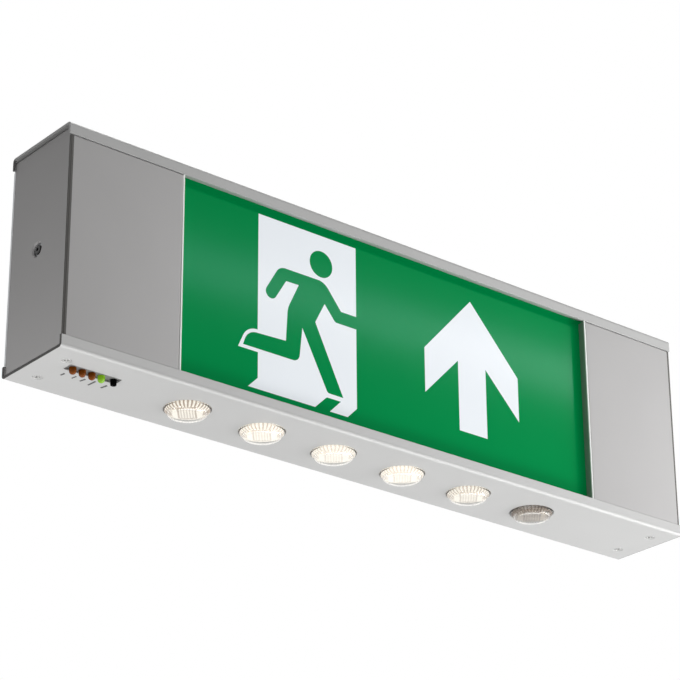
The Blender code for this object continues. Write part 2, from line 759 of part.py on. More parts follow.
def lens_mesh():
    """Clear cup lens with a fluted side, a rounded foot, two ears inside the rail and a prism."""
    foot = LENS_RADIUS - LENS_TAPER
    bore = foot - LENS_WALL
    ceiling = LENS_WALL - LENS_PROTRUSION
    edge = arc((foot - LENS_ROUND, LENS_ROUND - LENS_PROTRUSION), LENS_ROUND, -90, 0, EDGE_STEPS)
    cup = lofted([
        *[lens_ring(radius, height) for radius, height in edge[:-1]],
        lens_ring(*edge[-1], FLUTE_DEPTH),
        lens_ring(LENS_RADIUS, -COLLAR_HEIGHT, FLUTE_DEPTH),
        lens_ring(LENS_RADIUS, 0),
        lens_ring(LENS_RADIUS, LENS_RISE),
        lens_ring(bore, LENS_RISE),
        lens_ring(bore, ceiling),
    ])
    ear_bottom = RAIL_WALL + FIT
    ears = [
        block(
            (side * (LENS_RADIUS - LENS_WALL / 2), side * (LENS_RADIUS + EAR_REACH)),
            (-EAR_WIDTH / 2, EAR_WIDTH / 2),
            (ear_bottom, ear_bottom + EAR_WALL),
        )
        for side in (-1, 1)
    ]
    prism_block = block(
        (-PRISM_LENGTH / 2, PRISM_LENGTH / 2),
        (-PRISM_WIDTH / 2, PRISM_WIDTH / 2),
        (ceiling - LENS_WALL / 2, ceiling + PRISM_RISE),
    )
    return shape(cup, joins=[group(ears), prism_block])


def led_board_mesh():
    """Round board with the emitter and its dome on the lower side."""
    dome = arc((0, 0), EMITTER_RADIUS, -90, 0, EDGE_STEPS)
    dome_top = EMITTER_DROP - EMITTER_RADIUS
    return shape(turned([
        *[(radius, height - max(dome_top, 0)) for radius, height in dome],
        (EMITTER_RADIUS, 0),
        (LENS_RADIUS, 0),
        (LENS_RADIUS, BOARD_WALL),
        (0, BOARD_WALL),
    ], SMALL_SIDES))


def build_lenses():
    """Six lenses, their LED boards and the bar that carries the boards."""
    lens = lens_mesh()
    board = led_board_mesh()
    for number, x in enumerate(lens_places(), start=1):
        piece(f"lens_{number}", lens, CLEAR_PLASTIC, (x, LENS_LINE, BOTTOM))
        piece(f"led_board_{number}", board, WHITE_BOARD, (x, LENS_LINE, BOARD_BOTTOM))

    half = LENS_SPAN / 2 + LENS_RADIUS + EAR_REACH + CARRIER_MARGIN + CARRIER_WALL
    foot = FLOOR_INSIDE + FIT
    inner_bend = max(CARRIER_BEND - CARRIER_WALL, FIT)
    toe = half + CARRIER_FOOT
    section = rounded_outline([
        (-toe, foot, 0),
        (-half + CARRIER_WALL, foot, CARRIER_BEND),
        (-half + CARRIER_WALL, CARRIER_BOTTOM, inner_bend),
        (half - CARRIER_WALL, CARRIER_BOTTOM, inner_bend),
        (half - CARRIER_WALL, foot, CARRIER_BEND),
        (toe, foot, 0),
        (toe, foot + CARRIER_WALL, 0),
        (half, foot + CARRIER_WALL, inner_bend),
        (half, CARRIER_TOP, CARRIER_BEND),
        (-half, CARRIER_TOP, CARRIER_BEND),
        (-half, foot + CARRIER_WALL, inner_bend),
        (-toe, foot + CARRIER_WALL, 0),
    ])
    side = CARRIER_WIDTH / 2
    carrier = prism(section, "Y", LENS_LINE - side, LENS_LINE + side)
    piece("led_carrier", shape(carrier), MILL_ALUMINIUM)


# Indicator lamps and test button
def indicator_mesh():
    """Domed lamp with a flange and two pins, its flange seated at height 0."""
    tip = INDICATOR_RADIUS - INDICATOR_REACH
    body = turned([
        *arc((0, tip), INDICATOR_RADIUS, -90, 0),
        (INDICATOR_RADIUS, 0),
        (INDICATOR_FLANGE_RADIUS, 0),
        (INDICATOR_FLANGE_RADIUS, INDICATOR_FLANGE),
        (0, INDICATOR_FLANGE),
    ], SMALL_SIDES)
    pin_end = LAMP_BOARD_BOTTOM - FIT - LAMP_SEAT
    half = PIN_WALL / 2
    pins = [
        block(
            (side * PIN_PITCH / 2 - half, side * PIN_PITCH / 2 + half),
            (-half, half),
            (INDICATOR_FLANGE / 2, pin_end),
        )
        for side in (-1, 1)
    ]
    return shape(body, joins=[group(pins)])


def build_indicators():
    """Bezel whose rimmed boss fills the slot, lamp board, three amber lamps and a green one."""
    side = SLOT_WIDTH / 2 + BEZEL_SIDE_LAP
    top = BEZEL_BOTTOM + BEZEL_HEIGHT
    plate_top = BEZEL_BOTTOM + BEZEL_WALL
    section = rounded_outline([
        (BEZEL_LEFT, BEZEL_BOTTOM, 0),
        (BEZEL_RIGHT, BEZEL_BOTTOM, 0),
        (BEZEL_RIGHT, top, 0),
        (BEZEL_RIGHT - BEZEL_POST, top, 0),
        (BEZEL_RIGHT - BEZEL_POST, plate_top, 0),
        (BEZEL_LEFT + BEZEL_POST, plate_top, 0),
        (BEZEL_LEFT + BEZEL_POST, top, 0),
        (BEZEL_LEFT, top, 0),
    ])
    lamps = [FIRST_LAMP + INDICATOR_PITCH * index for index in range(AMBER_COUNT)] + [GREEN_LAMP]
    bores = [(x, INDICATOR_RADIUS + INDICATOR_CLEARANCE) for x in lamps]
    bores.append((BUTTON_X, BUTTON_RADIUS + FIT))
    holes = [
        moved(bar(radius, BOTTOM - OVERRUN, plate_top + OVERRUN, SMALL_SIDES), (x, LAMP_LINE, 0))
        for x, radius in bores
    ]
    boss_face = BOTTOM + BEZEL_SINK
    boss = prism(slot_outline(BEZEL_GAP), "Z", boss_face, BEZEL_BOTTOM + BEZEL_WALL / 2)
    floor = prism(slot_outline(BEZEL_GAP + BEZEL_RIM), "Z", BOTTOM - OVERRUN, boss_face + BEZEL_RECESS)
    bezel = prism(section, "Y", SLOT_LINE - side, SLOT_LINE + side)
    piece("indicator_bezel", shape(bezel, joins=[boss], cuts=[floor, group(holes)]), GREY_PLASTIC)

    board = block(
        (BEZEL_LEFT, BEZEL_RIGHT),
        (SLOT_LINE - side, SLOT_LINE + side),
        (LAMP_BOARD_BOTTOM, LAMP_BOARD_BOTTOM + BOARD_WALL),
    )
    piece("indicator_board", shape(board), GREEN_BOARD)

    lamp = indicator_mesh()
    for number, x in enumerate(lamps[:AMBER_COUNT], start=1):
        piece(f"amber_lamp_{number}", lamp, AMBER_PLASTIC, (x, LAMP_LINE, LAMP_SEAT))
    piece("green_lamp", lamp, LIT_GREEN_PLASTIC, (GREEN_LAMP, LAMP_LINE, LAMP_SEAT))


def build_test_button():
    """Sprung test button, its origin on its axis, and the switch above it."""
    tip = BOTTOM - BUTTON_PROTRUSION - LAMP_SEAT
    button = turned([
        (0, tip),
        *arc((BUTTON_RADIUS - BUTTON_ROUND, tip + BUTTON_ROUND), BUTTON_ROUND, -90, 0, EDGE_STEPS),
        (BUTTON_RADIUS, 0),
        (BUTTON_FLANGE_RADIUS, 0),
        (BUTTON_FLANGE_RADIUS, BUTTON_FLANGE),
        (0, BUTTON_FLANGE),
    ], SMALL_SIDES)
    piece("test_button", shape(button), BLACK_PLASTIC, (BUTTON_X, LAMP_LINE, LAMP_SEAT))

    half = SWITCH_SIZE / 2
    low = LAMP_SEAT + BUTTON_FLANGE + BUTTON_TRAVEL + SWITCH_CLEARANCE
    switch = block(
        (BUTTON_X - half, BUTTON_X + half),
        (LAMP_LINE - half, LAMP_LINE + half),
        (low, LAMP_BOARD_BOTTOM - FIT),
    )
    piece("test_switch", shape(switch), BLACK_PLASTIC)


# Gear tray and what it carries
def build_gear_tray():
    """Folded tray on the back plate, its ends held by a lock screw behind each access hole."""
    inner_bend = max(TRAY_BEND - TRAY_WALL, FIT)
    flange = ACCESS_Y - TRAY_LOCK_MARGIN
    section = rounded_outline([
        (-TRAY_END, flange, 0),
        (-TRAY_END, TRAY_BACK, TRAY_BEND),
        (TRAY_END, TRAY_BACK, TRAY_BEND),
        (TRAY_END, flange, 0),
        (TRAY_END - TRAY_WALL, flange, 0),
        (TRAY_END - TRAY_WALL, TRAY_FRONT, inner_bend),
        (TRAY_WALL - TRAY_END, TRAY_FRONT, inner_bend),
        (TRAY_WALL - TRAY_END, flange, 0),
    ])
    reach = TRAY_WALL + OVERRUN
    bores = []
    for side in (-1, 1):
        bore = bar(LOCK_RADIUS + FIT, -reach, reach, SMALL_SIDES)
        turn = Matrix.Rotation(math.pi / 2, 3, "Y")
        bores.append(moved(bore, (side * TRAY_END, ACCESS_Y, ACCESS_ABOVE_MIDDLE), turn))
    tray = prism(section, "Z", TRAY_BOTTOM, TRAY_TOP)
    piece("gear_tray", shape(tray, cuts=[group(bores)]), ZINC_STEEL)

    head = LOCK_HEAD
    screw = shape(turned([
        (0, -LOCK_LENGTH),
        (LOCK_RADIUS, -LOCK_LENGTH),
        (LOCK_RADIUS, FIT),
        (LOCK_HEAD_RADIUS, FIT),
        *arc((LOCK_HEAD_RADIUS - LOCK_ROUND, head - LOCK_ROUND), LOCK_ROUND, 0, 90, 2),
        (SOCKET_RADIUS, head),
        (SOCKET_RADIUS, head - SOCKET_DEPTH),
        (0, head - SOCKET_DEPTH),
    ], SMALL_SIDES))
    for name, side in (("lock_screw_left", -1), ("lock_screw_right", 1)):
        place = (side * TRAY_END, ACCESS_Y, ACCESS_ABOVE_MIDDLE)
        piece(name, screw, BLACK_STEEL, place, (0, side * math.pi / 2, 0))


def build_battery():
    """Shrink-wrapped stick of cells along X, in two sprung clips."""
    half = BATTERY_CELLS * CELL_LENGTH / 2
    profile = [(0, -half)]
    for cell in range(BATTERY_CELLS):
        start = cell * CELL_LENGTH - half
        end = start + CELL_LENGTH
        profile += [
            (CELL_RADIUS - CELL_NECK, start),
            (CELL_RADIUS, start + CELL_ROUND),
            (CELL_RADIUS, end - CELL_ROUND),
        ]
    profile += [(CELL_RADIUS - CELL_NECK, half), (0, half)]
    place = (BATTERY_OFFSET, BATTERY_AXIS, BATTERY_LINE)
    piece("battery_pack", shape(turned(profile, SMALL_SIDES)), PACK_BLUE, place, (0, math.pi / 2, 0))

    inner = CELL_RADIUS + FIT
    outer = CLIP_RADIUS
    open_half = math.degrees(CLIP_GAP / 2)
    ring = arc((0, 0), outer, open_half - 180, 180 - open_half, HOLE_SIDES // 2)
    ring += arc((0, 0), inner, 180 - open_half, open_half - 180, HOLE_SIDES // 2)
    foot = block((-CLIP_WIDTH / 2, CLIP_WIDTH / 2), (inner, outer), (-CLIP_FOOT / 2, CLIP_FOOT / 2))
    clip = shape(prism(ring, "X", -CLIP_WIDTH / 2, CLIP_WIDTH / 2), joins=[foot])
    for name, side in (("battery_clip_left", -1), ("battery_clip_right", 1)):
        x = BATTERY_OFFSET + side * CLIP_SPACING / 2
        piece(name, clip, ZINC_STEEL, (x, BATTERY_AXIS, BATTERY_LINE))


def build_control_gear():
    """Control gear in its round-edged box, and the mains terminal block."""
    section = rounded_outline([
        (TRAY_SEAT, GEAR_BOTTOM, 0),
        (GEAR_FRONT, GEAR_BOTTOM, GEAR_ROUND),
        (GEAR_FRONT, GEAR_TOP, GEAR_ROUND),
        (TRAY_SEAT, GEAR_TOP, 0),
    ])
    gear = prism(section, "X", GEAR_LEFT, GEAR_LEFT + GEAR_LENGTH)
    piece("control_gear", shape(gear), PALE_PLASTIC)

    half = TERMINAL_POLES * TERMINAL_PITCH / 2
    front = TRAY_SEAT - TERMINAL_DEPTH
    body = block(
        (TERMINAL_X - half, TERMINAL_X + half),
        (front, TRAY_SEAT),
        (BATTERY_LINE - TERMINAL_HEIGHT / 2, BATTERY_LINE + TERMINAL_HEIGHT / 2),
    )
    sockets = []
    facing = Matrix.Rotation(math.pi / 2, 3, "X")
    for pole in range(TERMINAL_POLES):
        x = TERMINAL_X - half + TERMINAL_PITCH * (pole + 1 / 2)
        for row in (-1, 1):
            socket = bar(TERMINAL_SCREW_RADIUS, -TERMINAL_SCREW_DEPTH, OVERRUN, SMALL_SIDES // 2)
            z = BATTERY_LINE + row * TERMINAL_HEIGHT / 4
            sockets.append(moved(socket, (x, front, z), facing))
    piece("terminal_block", shape(body, cuts=[group(sockets)]), PALE_PLASTIC)


def lead(name, points):
    """Insulated lead along the points, with closed ends."""
    tube = bpy.data.curves.new(name, "CURVE")
    tube.dimensions = "3D"
    tube.bevel_depth = LEAD_RADIUS
    tube.bevel_resolution = 2
    tube.use_fill_caps = True
    spline = tube.splines.new("POLY")
    spline.points.add(len(points) - 1)
    for point, place in zip(spline.points, points):
        point.co = (*place, 1)
    tube.materials.append(finish(name + "_finish", *LEAD_GREY))
    bpy.context.scene.collection.objects.link(bpy.data.objects.new(name, tube))


def build_leads():
    """Leads of the terminals, battery, lens bar, lamp board and sign strip, all to the gear."""
    deep = TRAY_SEAT - LEAD_SETBACK
    low = BATTERY_LINE - TERMINAL_HEIGHT / 2 - FIT
    lead("mains_lead", [(TERMINAL_X, deep, low), (TERMINAL_X, deep, GEAR_TOP + FIT)])

    start = (BATTERY_LEFT - FIT, BATTERY_LINE - LEAD_BEND)
    bend = arc(start, LEAD_BEND, 90, 180, LEAD_POINTS // 2)
    down = (start[0] - LEAD_BEND, BATTERY_AXIS, GEAR_TOP + FIT)
    lead("battery_lead", [*[(x, BATTERY_AXIS, z) for x, z in bend], down])

    between = (GEAR_FRONT + LENS_LINE + CARRIER_WIDTH / 2) / 2
    ends = (GEAR_BOTTOM - FIT, CARRIER_TOP + FIT)
    lead("lens_lead", [(GEAR_OFFSET, between, z) for z in ends])

    gear_end = GEAR_LEFT - FIT
    board = Vector(((BEZEL_LEFT + BEZEL_RIGHT) / 2, SLOT_LINE, LAMP_BOARD_BOTTOM + BOARD_WALL + FIT))
    socket = Vector((gear_end, GEAR_FRONT + LEAD_SETBACK, GEAR_BOTTOM + LEAD_SETBACK))
    up = Vector((0, 0, LEAD_RISE))
    leftward = Vector((-LEAD_RUN, 0, 0))
    lead("indicator_lead", interpolate_bezier(board, board + up, socket + leftward, socket, LEAD_POINTS))

    strip = Vector((-PANE_HALF - FIT, (GUIDE_FRONT + REFLECTOR_BACK) / 2, STRIP_MIDDLE - LEAD_RADIUS / 2))
    socket = Vector((gear_end, deep, GEAR_TOP - LEAD_SETBACK))
    first = strip + leftward / 2
    lead("sign_lead", interpolate_bezier(strip, first, socket + leftward, socket, LEAD_POINTS))


def build_emergency_light():
    """Every piece of the light."""
    clear_scene()
    build_rails()
    build_rail_screws()
    build_end_plates()
    build_blank_panels()
    build_back_plate()
    build_sign()
    build_lenses()
    build_indicators()
    build_test_button()
    build_gear_tray()
    build_battery()
    build_control_gear()
    build_leads()


build_emergency_light()
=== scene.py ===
"""Looks of a wall-mounted emergency exit light.

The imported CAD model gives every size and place. This script gives each surface its finish, models the
screws, print, optics and lamps in full, and sets up the studio and the camera.
"""

import json
import logging
import math
from collections.abc import Callable, Iterable, Sequence
from dataclasses import dataclass, field, replace
from enum import Enum
from typing import Any

import bmesh
import bpy
from bmesh.types import BMesh
from bpy.types import NodeSocket, NodeTree, Object
from mathutils import Matrix, Vector

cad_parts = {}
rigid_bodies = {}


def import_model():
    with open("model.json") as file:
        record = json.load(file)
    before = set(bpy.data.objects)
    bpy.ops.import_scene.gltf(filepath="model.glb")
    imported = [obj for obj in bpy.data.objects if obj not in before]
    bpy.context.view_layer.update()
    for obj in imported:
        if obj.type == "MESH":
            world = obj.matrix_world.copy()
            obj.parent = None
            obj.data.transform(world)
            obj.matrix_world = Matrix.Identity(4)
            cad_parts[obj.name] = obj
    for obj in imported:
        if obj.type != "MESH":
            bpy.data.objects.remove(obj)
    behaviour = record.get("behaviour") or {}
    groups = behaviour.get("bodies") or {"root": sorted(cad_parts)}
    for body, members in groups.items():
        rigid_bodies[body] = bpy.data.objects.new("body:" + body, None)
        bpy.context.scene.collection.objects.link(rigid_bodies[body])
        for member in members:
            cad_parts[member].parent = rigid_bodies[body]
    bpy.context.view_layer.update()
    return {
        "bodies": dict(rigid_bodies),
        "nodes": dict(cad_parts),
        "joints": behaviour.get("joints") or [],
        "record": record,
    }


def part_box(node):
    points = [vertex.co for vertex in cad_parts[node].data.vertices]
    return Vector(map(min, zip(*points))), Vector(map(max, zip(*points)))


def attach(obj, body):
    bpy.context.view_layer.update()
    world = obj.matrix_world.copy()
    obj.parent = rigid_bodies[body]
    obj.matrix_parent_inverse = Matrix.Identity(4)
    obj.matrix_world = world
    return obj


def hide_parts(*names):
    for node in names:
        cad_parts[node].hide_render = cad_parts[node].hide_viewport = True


log = logging.getLogger("exit_light")

Colour = tuple[float, float, float]
Point = tuple[float, float]
Corner = tuple[float, float, float]

MILLIMETRE = 0.001
SMOOTH_ANGLE = math.radians(35)

# Share of a radius at which a turned shell closes, as no ring may lie on the axis
TIP_SHARE = 0.02

# Values that all finishes share: fineness of their textures, least roughness and refractive index
GRAIN_DETAIL = 3.0
GLOSS_DETAIL = 4.0
GLOSS_SCALE = 60.0
SPANGLE_SCALE = 160.0
LEAST_ROUGHNESS = 0.02
PLASTIC_INDEX = 1.49

# How steeply an edge-lit pane's glow falls near its edges
EDGE_POWER = 6.0

# A place beyond the whole light, so that nothing lies past it
BEYOND_ALL = 1.0


class Graph:
    """A node tree that short calls fill."""

    def __init__(self, tree: NodeTree) -> None:
        """Starts with an empty tree.

        Args:
            tree: The node tree to fill.
        """
        self.tree = tree
        tree.nodes.clear()

    def add(self, kind: str, inputs: dict[str, Any] | None = None, **settings: Any) -> bpy.types.Node:
        """Adds a node.

        Args:
            kind: Blender's name of the node type.
            inputs: Values or source sockets by input name.
            settings: Attributes of the node.

        Returns:
            The new node.
        """
        node = self.tree.nodes.new(kind)
        for name, value in settings.items():
            setattr(node, name, value)
        for name, value in (inputs or {}).items():
            self.feed(node.inputs[name], value)
        return node

    def feed(self, socket: NodeSocket, value: Any) -> None:
        """Links a source socket to an input, or sets the input's value.

        Args:
            socket: The input.
            value: The source socket or the value.
        """
        if isinstance(value, NodeSocket):
            self.tree.links.new(value, socket)
        else:
            socket.default_value = value

    def maths(self, operation: str, *values: Any) -> NodeSocket:
        """Adds a Math node.

        Args:
            operation: Blender's name of the operation.
            values: One to three numbers or sockets.

        Returns:
            The node's output.
        """
        node = self.add("ShaderNodeMath", operation=operation)
        for socket, value in zip(node.inputs, values):
            self.feed(socket, value)
        return node.outputs[0]

    def tint(self, factor: Any, first: Any, second: Any, blend: str = "MIX") -> NodeSocket:
        """Adds a colour Mix node.

        Args:
            factor: Share of the second colour.
            first: Colour or socket at factor 0.
            second: Colour or socket at factor 1.
            blend: Blender's name of the blend type.

        Returns:
            The mixed colour.
        """
        node = self.add("ShaderNodeMix", data_type="RGBA", blend_type=blend)
        for index, value in ((0, factor), (6, first), (7, second)):
            self.feed(node.inputs[index], value)
        return node.outputs[2]

    def dimmed(self, colour: Any, level: Any) -> NodeSocket:
        """A colour times a level."""
        shade = self.add("ShaderNodeCombineColor", {"Red": level, "Green": level, "Blue": level})
        return self.tint(1.0, colour, shade.outputs[0], "MULTIPLY")

    def swung(self, pattern: Any, amount: Any, rest: Any) -> NodeSocket:
        """A value that a pattern from 0 to 1 swings about its rest."""
        return self.maths("MULTIPLY_ADD", self.maths("SUBTRACT", pattern, 0.5), amount, rest)

    def wave(self, value: Any, pace: float) -> NodeSocket:
        """A wave between 0 and 1 along a value."""
        swing = self.maths("COSINE", self.maths("MULTIPLY", value, pace))
        return self.maths("MULTIPLY_ADD", swing, 0.5, 0.5)

    def use(self, group: NodeTree, inputs: dict[str, Any]) -> NodeSocket:
        """Adds a node group and gives its output."""
        return self.add("ShaderNodeGroup", inputs, node_tree=group).outputs[0]

    def place(self) -> NodeSocket:
        """The shaded point in the object's own coordinates."""
        return self.add("ShaderNodeTexCoord").outputs["Object"]

    def axes(self) -> Any:
        """X, Y and Z of the shaded point in the object's own coordinates."""
        return self.add("ShaderNodeSeparateXYZ", {"Vector": self.place()}).outputs


class Kind(Enum):
    """What a socket of a node group carries."""

    NUMBER = "NodeSocketFloat"
    COLOUR = "NodeSocketColor"
    VECTOR = "NodeSocketVector"


def shader_group(
    name: str, inputs: dict[str, Kind], output: tuple[str, Kind],
) -> tuple[NodeTree, Graph, Any, NodeSocket]:
    """Makes an empty shader node group.

    Args:
        name: Name of the group.
        inputs: Kind of each input by its name.
        output: Name and kind of the output.

    Returns:
        The group, its graph, its input sockets by name and the socket that takes the result.
    """
    group = bpy.data.node_groups.new(name, "ShaderNodeTree")
    for label, kind in inputs.items():
        group.interface.new_socket(label, in_out="INPUT", socket_type=kind.value)
    group.interface.new_socket(output[0], in_out="OUTPUT", socket_type=output[1].value)
    graph = Graph(group)
    given, result = graph.add("NodeGroupInput"), graph.add("NodeGroupOutput")
    return group, graph, given.outputs, result.inputs[0]


@dataclass(frozen=True)
class OpticReliefShade:
    """Painted shade of the relief moulded into a lens optic, with its depths as shares of full shadow."""

    turn: float = math.radians(-40)
    notches: float = 34.0
    notch_power: float = 2.0
    notch_depth: float = 0.9
    rim_start: float = 0.0095
    rim_end: float = 0.0125
    window_shift: float = 0.0022
    window_width: float = 0.0060
    window_height: float = 0.0080
    frame_band: float = 0.1
    frame_depth: float = 0.7
    rib_pitch: float = 0.0020
    rib_depth: float = 0.5
    latch_width: float = 0.0020
    latch_start: float = 0.0105
    latch_depth: float = 0.7
    shadow: Colour = (0.34, 0.25, 0.19)


class Effects:
    """Shader node groups that several finishes share."""

    def __init__(self) -> None:
        """Builds each group once."""
        self.grain = self._build_grain()
        self.drift = self._build_drift()
        self.gloss = self._build_gloss()
        self.spangle = self._build_spangle()
        self.backlight = self._build_backlight()
        self.shaded_cut_ends = self._build_shaded_cut_ends()
        self.relief = self._build_relief_shade()

    def _build_grain(self) -> NodeTree:
        """Fine relief of a surface, stretched along any axis.

        Returns:
            The node group.
        """
        group, graph, given, height = shader_group(
            "surface_grain", {"Stretch": Kind.VECTOR, "Scale": Kind.NUMBER}, ("Height", Kind.NUMBER),
        )
        stretched = graph.add("ShaderNodeVectorMath", operation="MULTIPLY")
        graph.feed(stretched.inputs[0], graph.place())
        graph.feed(stretched.inputs[1], given["Stretch"])
        noise = graph.add("ShaderNodeTexNoise", {
            "Vector": stretched.outputs[0],
            "Scale": given["Scale"],
            "Detail": GRAIN_DETAIL,
        })
        graph.feed(height, noise.outputs[0])
        return group

    def _build_drift(self) -> NodeTree:
        """Slow change of a colour's brightness over the surface.

        Returns:
            The node group.
        """
        group, graph, given, result = shader_group(
            "colour_drift",
            {"Colour": Kind.COLOUR, "Scale": Kind.NUMBER, "Amount": Kind.NUMBER},
            ("Colour", Kind.COLOUR),
        )
        noise = graph.add("ShaderNodeTexNoise", {"Vector": graph.place(), "Scale": given["Scale"]})
        level = graph.swung(noise.outputs[0], given["Amount"], 1.0)
        graph.feed(result, graph.dimmed(given["Colour"], level))
        return group

    def _build_gloss(self) -> NodeTree:
        """Patches of slightly higher and lower gloss, as handling leaves.

        Returns:
            The node group.
        """
        group, graph, given, result = shader_group(
            "gloss_patches",
            {"Roughness": Kind.NUMBER, "Scale": Kind.NUMBER, "Spread": Kind.NUMBER},
            ("Roughness", Kind.NUMBER),
        )
        noise = graph.add("ShaderNodeTexNoise", {
            "Vector": graph.place(),
            "Scale": given["Scale"],
            "Detail": GLOSS_DETAIL,
        })
        rough = graph.swung(noise.outputs[0], given["Spread"], given["Roughness"])
        graph.feed(result, graph.maths("MAXIMUM", rough, LEAST_ROUGHNESS))
        return group

    def _build_spangle(self) -> NodeTree:
        """Crystal patches of zinc plating.

        Returns:
            The node group.
        """
        group, graph, given, result = shader_group(
            "zinc_spangle",
            {"Colour": Kind.COLOUR, "Scale": Kind.NUMBER, "Amount": Kind.NUMBER},
            ("Colour", Kind.COLOUR),
        )
        cells = graph.add("ShaderNodeTexVoronoi", {"Vector": graph.place(), "Scale": given["Scale"]})
        grey = graph.add("ShaderNodeRGBToBW", {"Color": cells.outputs["Color"]})
        level = graph.swung(grey.outputs[0], given["Amount"], 1.0)
        graph.feed(result, graph.dimmed(given["Colour"], level))
        return group

    def _build_backlight(self) -> NodeTree:
        """Glow of an edge-lit pane, which fades towards its upper and lower edge.

        Returns:
            The node group.
        """
        group, graph, given, glow = shader_group(
            "edge_lit_glow",
            {"Colour": Kind.COLOUR, "Half Height": Kind.NUMBER, "Edge Fade": Kind.NUMBER},
            ("Glow", Kind.COLOUR),
        )
        share = graph.maths("DIVIDE", graph.axes()["Z"], given["Half Height"])
        near_edge = graph.maths("POWER", graph.maths("ABSOLUTE", share), EDGE_POWER)
        loss = graph.maths("MULTIPLY", near_edge, given["Edge Fade"])
        level = graph.maths("MAXIMUM", graph.maths("SUBTRACT", 1.0, loss), 0.0)
        graph.feed(glow, graph.dimmed(given["Colour"], level))
        return group

    def _build_shaded_cut_ends(self) -> NodeTree:
        """Mask of the painted shade on the cut ends of rails and panels.

        Returns:
            The node group.
        """
        places = dict.fromkeys(("Beyond", "Front", "Back", "Lower Half"), Kind.NUMBER)
        group, graph, given, mask = shader_group("shaded_cut_ends", places, ("Mask", Kind.NUMBER))
        axes = graph.axes()
        outside = graph.maths("GREATER_THAN", graph.maths("ABSOLUTE", axes["X"]), given["Beyond"])
        front = graph.maths("LESS_THAN", axes["Y"], given["Front"])
        back = graph.maths("GREATER_THAN", axes["Y"], given["Back"])
        low = graph.maths("MULTIPLY", graph.maths("LESS_THAN", axes["Z"], 0.0), given["Lower Half"])
        there = graph.maths("MAXIMUM", graph.maths("MAXIMUM", front, back), low)
        graph.feed(mask, graph.maths("MULTIPLY", outside, there))
        return group

    def _build_relief_shade(self) -> NodeTree:
        """Painted shade of a lit optic's moulded relief: notches round its rim, a ribbed window and two
        latches.

        Returns:
            The node group.
        """
        group, graph, given, result = shader_group(
            "optic_relief_shade", {"Colour": Kind.COLOUR, "Contrast": Kind.NUMBER}, ("Colour", Kind.COLOUR),
        )
        sizes = OpticReliefShade()
        axes = graph.axes()
        along, aside = math.cos(sizes.turn), math.sin(sizes.turn)
        across = graph.maths("MULTIPLY_ADD", axes["X"], along, graph.maths("MULTIPLY", axes["Y"], aside))
        deep = graph.maths("MULTIPLY_ADD", axes["Y"], along, graph.maths("MULTIPLY", axes["X"], -aside))
        depths = (
            self._notches(graph, sizes, across, deep),
            *self._window(graph, sizes, across, deep),
            self._latches(graph, sizes, across, deep),
        )
        depth = depths[0]
        for other in depths[1:]:
            depth = graph.maths("MAXIMUM", depth, other)
        depth = graph.maths("MULTIPLY", depth, given["Contrast"])
        shadow = graph.tint(1.0, given["Colour"], (*sizes.shadow, 1.0), "MULTIPLY")
        graph.feed(result, graph.tint(depth, given["Colour"], shadow))
        return group

    def _notches(self, graph: Graph, sizes: OpticReliefShade, across: Any, deep: Any) -> NodeSocket:
        """Paints the shade of the notches round an optic's rim.

        Args:
            graph: The group's graph.
            sizes: Sizes of the relief.
            across: Place across the optic.
            deep: Place along the optic.

        Returns:
            Their depth.
        """
        reach = graph.maths("SQRT", graph.maths(
            "ADD", graph.maths("MULTIPLY", across, across), graph.maths("MULTIPLY", deep, deep),
        ))
        rim = graph.add("ShaderNodeMapRange", {
            "Value": reach,
            "From Min": sizes.rim_start,
            "From Max": sizes.rim_end,
        }, interpolation_type="SMOOTHSTEP").outputs[0]
        turn = graph.maths("ARCTAN2", deep, across)
        notch = graph.maths("POWER", graph.wave(turn, sizes.notches), sizes.notch_power)
        return graph.maths("MULTIPLY", graph.maths("MULTIPLY", notch, rim), sizes.notch_depth)

    def _window(self, graph: Graph, sizes: OpticReliefShade, across: Any, deep: Any) -> tuple[Any, Any]:
        """Paints the shade of an optic's ribbed window and of the frame round it.

        Args:
            graph: The group's graph.
            sizes: Sizes of the relief.
            across: Place across the optic.
            deep: Place along the optic.

        Returns:
            Depth of the ribs and of the frame.
        """
        wide = graph.maths("DIVIDE", graph.maths("ABSOLUTE", across), sizes.window_width)
        shifted = graph.maths("ABSOLUTE", graph.maths("ADD", deep, sizes.window_shift))
        window = graph.maths("MAXIMUM", wide, graph.maths("DIVIDE", shifted, sizes.window_height))
        ribs = graph.maths("MULTIPLY", graph.wave(across, math.tau / sizes.rib_pitch), sizes.rib_depth)
        ribs = graph.maths("MULTIPLY", ribs, graph.maths("LESS_THAN", window, 1.0))
        frame = graph.maths("COMPARE", window, 1.0, sizes.frame_band)
        return ribs, graph.maths("MULTIPLY", frame, sizes.frame_depth)

    def _latches(self, graph: Graph, sizes: OpticReliefShade, across: Any, deep: Any) -> NodeSocket:
        """Paints the shade of the two latches at an optic's sides.

        Args:
            graph: The group's graph.
            sizes: Sizes of the relief.
            across: Place across the optic.
            deep: Place along the optic.

        Returns:
            Their depth.
        """
        narrow = graph.maths("LESS_THAN", graph.maths("ABSOLUTE", deep), sizes.latch_width)
        outside = graph.maths("GREATER_THAN", graph.maths("ABSOLUTE", across), sizes.latch_start)
        return graph.maths("MULTIPLY", graph.maths("MULTIPLY", narrow, outside), sizes.latch_depth)


class Grain(Enum):
    """Relief of a surface: stretch along X, Y and Z, and scale."""

    DRAWN = ((0.02, 1.0, 1.0), 2600.0)
    SHEET = ((1.0, 1.0, 1.0), 1800.0)
    MOULDED = ((1.0, 1.0, 1.0), 2400.0)
    FILM = ((1.0, 1.0, 1.0), 140.0)


@dataclass(frozen=True)
class ShadedCutEnd:
    """Painted shade on cut ends: beyond an X, and there before or behind a Y, or all over the lower half."""

    beyond: float
    front: float = -BEYOND_ALL
    back: float = BEYOND_ALL
    lower_half: bool = False
    # Colour of the painted shade
    colour: Colour = (0.03, 0.028, 0.026)


